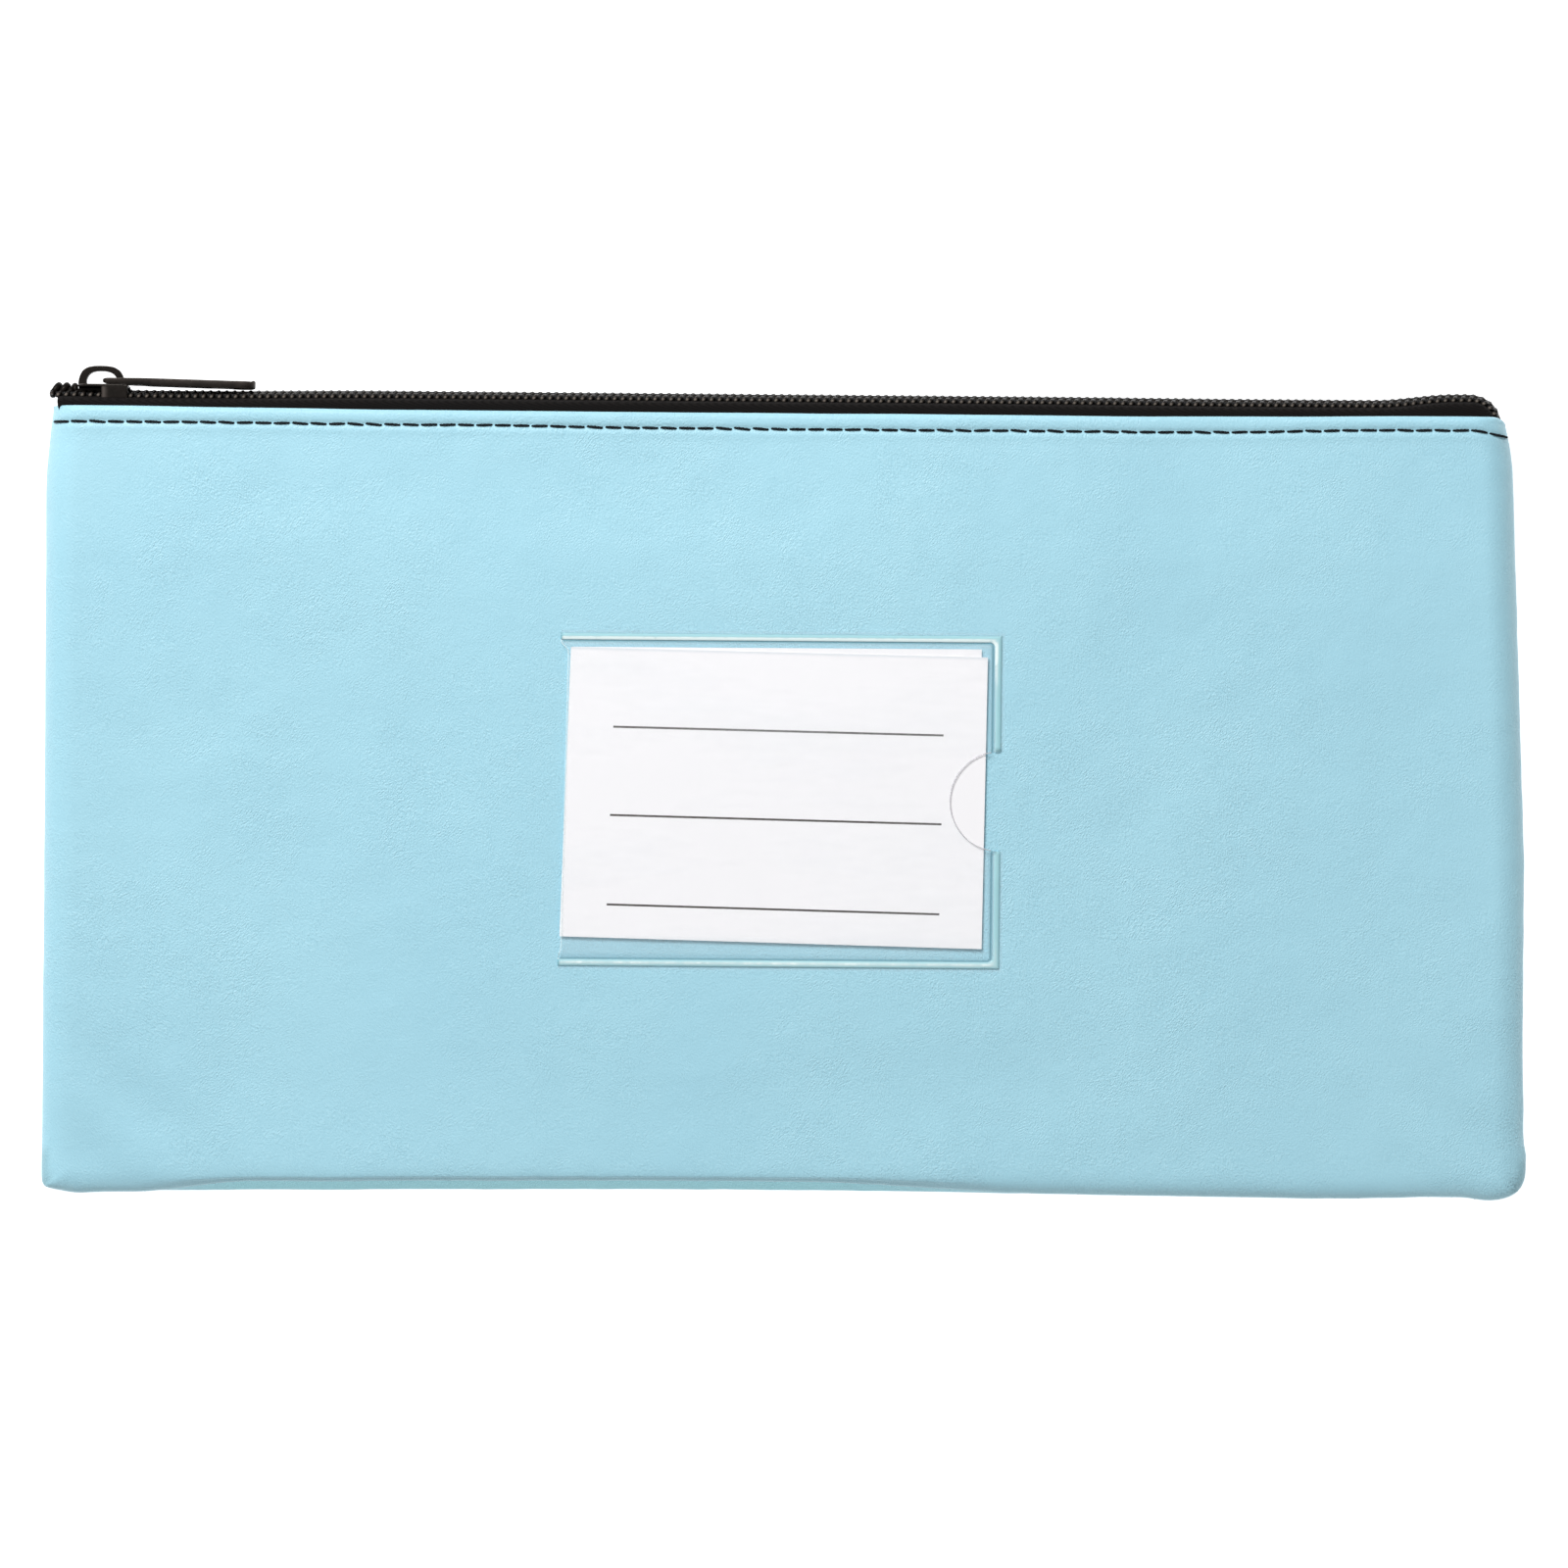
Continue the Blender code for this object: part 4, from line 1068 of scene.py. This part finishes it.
PLATE_LOW, PLATE_TOP = 76.78, 77.32
FLOOR_LOW, FLOOR_TOP = 72.3, 73.15
SLIDER_LEFT, SLIDER_RIGHT = -133.2, -123.8
SHOULDER_HALF, TAIL_HALF = 4.0, 3.9
FLANGE_LEFT, FLANGE_LOW = -128.6, 74.62
FLANGE_CLEARS = 1.1  # the rear flange ends this much higher, because the rear tape does
BAIL_OUTER = (
    (-133.2, 76.9), (-124.5, 76.9), (-124.55, 77.9), (-124.75, 78.9), (-125.35, 79.95), (-126.4, 80.6),
    (-127.8, 80.82), (-130.0, 80.84), (-131.4, 80.6), (-132.35, 80.0), (-132.9, 79.0), (-133.15, 78.0),
)
BAIL_INNER = (
    (-131.65, 77.2), (-125.75, 77.2), (-125.75, 78.0), (-126.1, 78.8), (-126.8, 79.45), (-127.8, 79.8),
    (-129.6, 79.85), (-130.6, 79.6), (-131.3, 79.0), (-131.65, 78.2),
)


def make_slider():
    """Two plates joined by a neck between the coils, their turned-in edges and the D-shaped bail."""
    corners = mirrored([(SLIDER_LEFT, -SHOULDER_HALF), (SLIDER_RIGHT, -TAIL_HALF)])
    radii = [2.4, 0.9, 0.9, 2.4]
    parts = [
        zip_plate("roof", corners, radii, PLATE_LOW, PLATE_TOP, 0.24),
        zip_plate("ground", corners, radii, FLOOR_LOW, FLOOR_TOP, 0.24),
    ]
    left = SLIDER_LEFT + 0.05
    neck = [(left, -0.38), (left + 4.9, -0.26), (left + 4.9, 0.0), (left, 0.12)]
    parts.append(zip_plate("neck", neck, [0.1] * 4, FLOOR_TOP - 0.3, PLATE_LOW + 0.3, 0, 3))
    for side, above in ((1, 0.0), (-1, FLANGE_CLEARS)):
        for low, high in ((FLANGE_LOW + above, PLATE_TOP - 0.2), (FLOOR_LOW + 0.25, FLOOR_TOP + 0.3)):
            parts.append(make_flange(side, low, high))
    loops = [rounded_loop(BAIL_OUTER), rounded_loop(BAIL_INNER)]
    parts.append(plate("bail", loops, 2.3, 0.3, Matrix.Translation(ZIP_Z * Z), 4))
    body = merge("slider_casting", parts, 0.075)
    paint_edges(body, painted_flange_highlight)
    dress(body, ENAMEL, "slider_body", "slider")


def painted_flange_highlight(x, y, z):
    """Painted highlights on the rounded left ends of the turned-in edges."""
    return 0.95 * peak(x, FLANGE_LEFT + 0.45, 0.5) * smooth(77.0, 76.6, y) * smooth(3.0, 3.5, abs(z - ZIP_Z))


def make_flange(side, low, high):
    """One turned-in edge of a plate, with a rounded left end."""
    right, outer = SLIDER_RIGHT + 0.1, TAIL_HALF
    corners = [
        (FLANGE_LEFT, outer - 0.66), (right, outer - 0.62), (right, outer), (FLANGE_LEFT, outer + 0.06)
    ]
    radii = [0.3, 0.15, 0.25, 0.34]
    if side < 0:
        corners, radii = [(x, -y) for x, y in corners[::-1]], radii[::-1]
    return zip_plate("flange", corners, radii, low, high, 0.2, 5)


def rounded_loop(points):
    """Chaikin corner cutting."""
    points = [Vector(p) for p in points]
    for _ in range(2):
        pairs = zip(points, points[1:] + points[:1])
        points = [point.lerp(after, share) for point, after in pairs for share in (0.22, 0.78)]
    return points


PULL_AXIS = (-128.3, 78.45)
PULL_LENGTH = 28.6
PULL_TILT = radians(1.47)
PULL_DROP = 0.42  # the tab hangs this far below the hinge line, against the bail's bar
PULL_START, PULL_END = -0.55, PULL_LENGTH - 0.5


def make_pull():
    """A cast tab: an eye round the bail, a waisted neck, a long flat blade and a rimmed hole at its end."""
    half = [(PULL_START, -2.35), (6.0, -2.45), (8.2, -2.2), (16.0, -2.55), (PULL_END, -2.7)]
    radii = [0.95, 1.2, 1.6, 6.0, 2.3]
    outline = outline_points(mirrored(half), radii + radii[::-1])
    eye = outline_points(mirrored([(0.55, -1.5), (5.9, -1.4)]), [0.45, 1.2, 1.2, 0.45])
    hole = PULL_END - 2.75
    ridge = outline_points(mirrored([(7.4, -1.25), (20.6, -1.55)]), [1.2, 1.5, 1.5, 1.2], 6)
    hollow = outline_points(mirrored([(8.1, -0.75), (19.9, -1.0)]), [0.7, 0.95, 0.95, 0.7], 6)
    parts = [
        plate("blade", [outline, eye, ring(hole, 1.45, 28)], 1.4, 0.38),
        plate("rim", [ring(hole, 2.25, 32), ring(hole, 1.5, 32)], 1.52, 0.24),
        plate("ridge", [ridge, hollow], 1.54, 0.14, segments=2),
    ]
    made = merge("pull_tab", parts, 0.1)
    for vertex in made.data.vertices:
        x = vertex.co.x / MM
        vertex.co.z *= tip_taper(x)
        if vertex.co.z < 0:
            vertex.co.z -= 0.3 * MM * smooth(PULL_END - 0.75, PULL_END - 0.25, x)
    # painted light: the half of the tab facing the light is made paler
    paint_edges(made, lambda x, y, z: 0.36 * smooth(0.25, -0.5, z))
    place = Vector((PULL_AXIS[0] + 0.3, PULL_AXIS[1] - PULL_DROP, ZIP_Z)) * MM
    turn = Matrix.Rotation(-PULL_TILT, 4, "Z") @ Matrix.Rotation(pi / 2, 4, "X")
    made.data.transform(Matrix.Translation(place) @ turn)
    dress(made, ENAMEL, "slider_pull", "pull")


def tip_taper(x):
    """How much thinner the tab is near its ends, which are rounded in thickness."""
    near = min(1.0, max(0.0, (x - PULL_START) / 1.5))
    far = min(1.0, max(0.0, (PULL_END - x) / 0.9))
    nose = 0.3 + 0.7 * sqrt(1 - (1 - near) ** 2)
    nose *= 1 - 0.22 * smooth(9.0, 1.0, x - PULL_START)
    return nose * (0.55 + 0.45 * sqrt(1 - (1 - far) ** 2))


# Label window and card

NOTCH = (40.6, 0.2, 9.35)
FILM_Z = 0.92  # height over the card
WELD, WELD_STEP = 1.25, 0.2  # the weld's width and that of its raised edge
FILM_LEFT, BAR_LEFT = (-41.7, -40.5), (-42.16, -41.94)  # at the low and the high end
FILM_RIGHT, FILM_LOW, FILM_HIGH = 40.75, -31.3, 31.3
FLASH = 0.9  # a thin skirt pressed out past the weld
RIM_STEPS = (0.0, 0.3, 0.6, 0.9, 0.95, 1.1, 1.25, 1.5, 1.75, 1.95, 2.15, 2.25, 2.35, 2.45, 2.55, 2.65, 2.8,
             2.95, 3.1, 3.3, 3.6, 4.2, 5.0, 6.0)
RIM = RIM_STEPS[-1]
FILM_CORNER = 2.3


def film_z(x, y, height, loose):
    """Height of the film over the front's face. It waves a little where it is loose."""
    return 2 * half_depth(y) + relief(x, y, 1) + height + 0.12 * wander(x, y, 26, 4.4) * loose


def window_profile(gap, to_side):
    """(height, weld, painted highlight, painted shade) by the distance inwards from the welded rim's outer
    edge.

    to_side is 1 on the right-hand bar, 0 on the upper and lower ones.
    """
    if gap < 0:
        # painted shade on the skirt pressed out past the weld
        return 0.02, 0.0, 0.0, 0.42 * smooth(-FLASH, 0.0, gap) ** 2
    if gap < WELD_STEP:
        # painted shade along the weld's raised outer edge
        edge = mix(0.75, 0.3, to_side) * (1 - smooth(0.05, WELD_STEP, gap))
        return mix(0.03, 0.3, smooth(0, WELD_STEP, gap)), 0.8, 0.0, edge
    if gap < WELD:
        share = (gap - WELD_STEP) / (WELD - WELD_STEP)
        # painted highlight on the weld's inner half
        return 0.3 + 0.1 * sin(pi * share), 1.0, smooth(0.3, 0.65, share), 0.0
    depth = gap - WELD
    # painted shade in the valley just inside the weld
    line = 0.95 * peak(depth, mix(0.26, 0.42, to_side), mix(0.26, 0.4, to_side))
    height = 0.3 - 0.2 * smooth(0, 0.22, depth) + 0.45 * smooth(0.3, 0.7, depth)
    height = mix(height, FILM_Z, smooth(0.7, 1.2, depth))
    weld = 0.35 * (1 - smooth(0, 1.3, depth))
    return height, weld, 1 - smooth(0, 0.12, depth), line * smooth(0, 0.1, depth)


def film_gap(x, y, on_rim):
    """Distance inwards from the weld's outer edge, rounded in the right-hand corners."""
    edge = min(y - FILM_LOW, FILM_HIGH - y)
    side = FILM_RIGHT - x if on_rim else 99.0
    gap = min(edge, side)
    if edge < FILM_CORNER and side < FILM_CORNER:
        arc = FILM_CORNER - hypot(FILM_CORNER - edge, FILM_CORNER - side)
        gap = mix(gap, arc, smooth(0.5, WELD, gap))
    return gap, smooth(-1.0, 1.0, edge - side)


def window_point(x, y, on_rim, from_left):
    """The film's place at x, y and its six layers, in the order of FILM_LAYERS."""
    gap, to_side = film_gap(x, y, on_rim)
    height, weld, painted_weld_glint, painted_film_shade = window_profile(gap, to_side)
    if y < 0:
        # the lower bar's painted highlight lies along its middle
        painted_weld_glint = 0.75 * weld * peak((gap - WELD_STEP) / (WELD - WELD_STEP), 0.55, 0.3)
    if gap > WELD and to_side < 1:
        # painted shadow below the card's lower edge, fainter to the right
        painted_film_shade = max(painted_film_shade, 0.3 * smooth(-24.5, -26.5, y) * (1 - 0.5 * smooth(-25, 30, x)))
    # the side bar's painted highlight fades lower down
    faded = mix(0.12, 1.0, smooth(18.0, 29.0, y)) if y > 0 else mix(0.1, 0.5, smooth(-24, -30, y))
    # painted shade at the bars' left ends
    left_end = weld * smooth(0.42, 0.16, from_left)
    painted_weld_glint *= mix(1.0, faded, to_side) * (1 - left_end)
    painted_film_shade = max(painted_film_shade, 0.8 * left_end if gap < WELD else 0.0)
    # painted highlight along the film's open left edge
    rim = smooth(0.5, 0.1, from_left) * (gap > WELD)
    place = (x, y, film_z(x, y, height, smooth(3, 9, gap)))
    return place, (weld, painted_weld_glint, painted_film_shade, rim, 0.0, smooth(0.0, 0.2, gap))


def make_window():
    """The clear sheet as one grid with its welded rims, open at its left side and cut by a thumb notch."""
    low, high, right = FILM_LOW - FLASH, FILM_HIGH + FLASH, FILM_RIGHT + FLASH
    inner = spread(low + RIM, high - RIM, 90)[1:-1]
    ys = [low + step for step in RIM_STEPS] + inner + [high - step for step in RIM_STEPS[::-1]]
    shares = [0.0, 0.002, 0.004, 0.008] + spread(0.015, 1, 120)[:-1]
    columns = [(False, share) for share in shares] + [(True, step) for step in RIM_STEPS[::-1]]
    points, values = [], []
    for on_rim, value in columns:
        for y in ys:
            up = (y - FILM_LOW) / (FILM_HIGH - FILM_LOW)
            off_bar = smooth(WELD + 0.3, WELD + 2.4, min(y - FILM_LOW, FILM_HIGH - y))
            left = mix(mix(*BAR_LEFT, up), mix(*FILM_LEFT, up), off_bar)
            x = right - value if on_rim else mix(left, right - RIM, value)
            place, layers = window_point(x, y, on_rim, 9.0 if on_rim else x - left)
            points.append(place)
            values.append(layers)
    inside = snap_to_notch(points)
    quads = grid_faces(len(columns), len(ys))
    kept = [tuple(index for index in quad if index not in inside) for quad in quads]
    bundle = Bundle()
    bundle.add(points, [face for face in kept if len(face) > 2])
    bundle.add(*notch_rim())
    values += [(0.0, 0.0, 0.0, 0.0, 1.0, 0.0)] * (len(bundle.points) - len(points))
    layers = dict(zip(FILM_LAYERS, zip(*values)))
    tidy(bundle.finish("window_film", VINYL, "label_window", layers=layers), 1e-7)


def snap_to_notch(points):
    """Moves the points nearest the notch's rim onto it and returns those inside the notch."""
    cx, cy, radius = NOTCH
    inside = set()
    for index, (x, y, z) in enumerate(points):
        away = hypot(x - cx, y - cy)
        if abs(away - radius) < 0.4:
            scale = radius / away
            points[index] = (cx + (x - cx) * scale, cy + (y - cy) * scale, z)
        elif away < radius:
            inside.add(index)
    return inside


def notch_rim():
    """The notch's cut edge, as a fine bead."""
    cx, cy, radius = NOTCH
    reach = acos((FILM_RIGHT - WELD - 0.6 - cx) / radius)
    path = []
    for angle in spread(reach, 2 * pi - reach, 96):
        x, y = cx + radius * cos(angle), cy + radius * sin(angle)
        path.append(Vector((x, y, film_z(x, y, FILM_Z, 1.0))))
    return sweep(path, 0.12, 6)


# Each leaf's corners: bottom left, bottom right, top right, top left; then its height over the face
LEAVES = (
    ((-41.8, -25.7), (37.4, -27.5), (38.1, 27.2), (-40.0, 28.55), 0.60),
    ((-41.2, -25.5), (36.6, -26.9), (36.95, 28.7), (-39.85, 28.6), 0.46),
)
LEAF_COLUMNS, LEAF_ROWS = 48, 34
UNPRINTED = (0.02, 0.02)


def make_card():
    """A folded card: the ruled leaf in front, with the rear leaf showing past its top edge."""
    bundle, uv = Bundle(), []
    for leaf in LEAVES:
        low_left, low_right, high_right, high_left = (Vector(corner) for corner in leaf[:4])
        for lift in (0.05, -0.05):
            points = []
            printed = leaf is LEAVES[0] and lift > 0
            for u in spread(0, 1, LEAF_COLUMNS - 1):
                low, high = low_left.lerp(low_right, u), high_left.lerp(high_right, u)
                for v in spread(0, 1, LEAF_ROWS - 1):
                    x, y = low.lerp(high, v)
                    curl = 0.06 * wander(x, y, 30, 2.6)
                    points.append((x, y, 2 * half_depth(y) + leaf[4] + lift + curl))
                    uv.append((u, v) if printed else UNPRINTED)
            bundle.add(points, grid_faces(LEAF_COLUMNS, LEAF_ROWS, flip=lift < 0))
    made = bundle.finish("ruled_insert", CARD, "insert_card", body="card")
    layer = made.data.uv_layers.new(name="print")
    for loop in made.data.loops:
        layer.data[loop.index].uv = uv[loop.vertex_index]
    close_rims(made, LEAF_COLUMNS, LEAF_ROWS)


def close_rims(made, columns, rows):
    """Joins each leaf's upper and lower skins round its edge."""
    bm = bmesh.new()
    bm.from_mesh(made.data)
    bm.verts.ensure_lookup_table()
    size = columns * rows
    last = size - rows
    border = [*range(0, last, rows), *range(last, size - 1), *range(size - 1, rows - 1, -rows)]
    border += range(rows - 1, 0, -1)
    for upper in (0, 2 * size):
        for a, b in zip(border, border[1:] + border[:1]):
            corners = (upper + b, upper + a, upper + size + a, upper + size + b)
            bm.faces.new([bm.verts[index] for index in corners]).smooth = False
    bm.to_mesh(made.data)
    bm.free()
    made.data.set_sharp_from_angle(angle=radians(40))


# Stage: name, place, power and size of each light
LIGHTS = (
    ("key", (-0.42, 0.80, 0.95), 16.4, (0.5, 0.5)),
    ("top_fill", (-0.1, 0.35, 1.9), 2.6, (1.6, 1.6)),
    ("front_fill", (0.0, -1.1, 0.3), 1.2, (1.2, 0.3)),
    ("right_fill", (1.2, -0.3, 0.8), 0.3, (0.8, 0.8)),
)


def make_stage():
    bm = bmesh.new()
    bmesh.ops.create_grid(bm, x_segments=8, y_segments=8, size=6.0)
    ground = from_bm("floor", bm)
    ground.location.z = -0.0002
    ground.data.materials.append(floor_white())
    for name, place, power, size in LIGHTS:
        data = bpy.data.lights.new(name, "AREA")
        data.energy, data.shape = power, "RECTANGLE"
        data.size, data.size_y = size
        lamp = placed(name, data)
        lamp.location = place
        lamp.rotation_euler = (-Vector(place)).to_track_quat("-Z", "Y").to_euler()
    world = bpy.data.worlds.new("studio")
    bpy.context.scene.world = world
    world.use_nodes = True
    background = world.node_tree.nodes["Background"]
    background.inputs["Color"].default_value = (1.0, 1.0, 1.0, 1.0)
    background.inputs["Strength"].default_value = 0.25
    bpy.context.scene.view_settings.view_transform = "Standard"


def make_camera():
    """Straight above the bag, turned so that the bag lies half a degree clockwise in the picture."""
    distance, middle_plane, frame_width = 1.5, 0.006, 0.2955
    data = bpy.data.cameras.new("camera")
    data.sensor_width = 36.0
    data.lens = data.sensor_width * (distance - middle_plane) / frame_width
    data.clip_start, data.clip_end = 0.05, 20.0
    camera = placed("camera", data)
    camera.location = (0.0001, 0.0032, distance)
    camera.rotation_euler = (0, 0, radians(0.45))
    bpy.context.scene.camera = camera


def main():
    make_stage()
    make_camera()
    for side, face in (("front", 1), ("back", -1)):
        make_panel(side, face)
        for part, (low, high) in PARTS.items():
            for make in (make_tape, make_coil, make_coil_core, make_coil_sewing):
                press(make(side, face, part, low, high), part)
        make_topstitch(side, face)
        make_bobbin_row(side, face)
    for make in (make_seam_rows, make_slider, make_pull, make_window, make_card):
        make()


main()
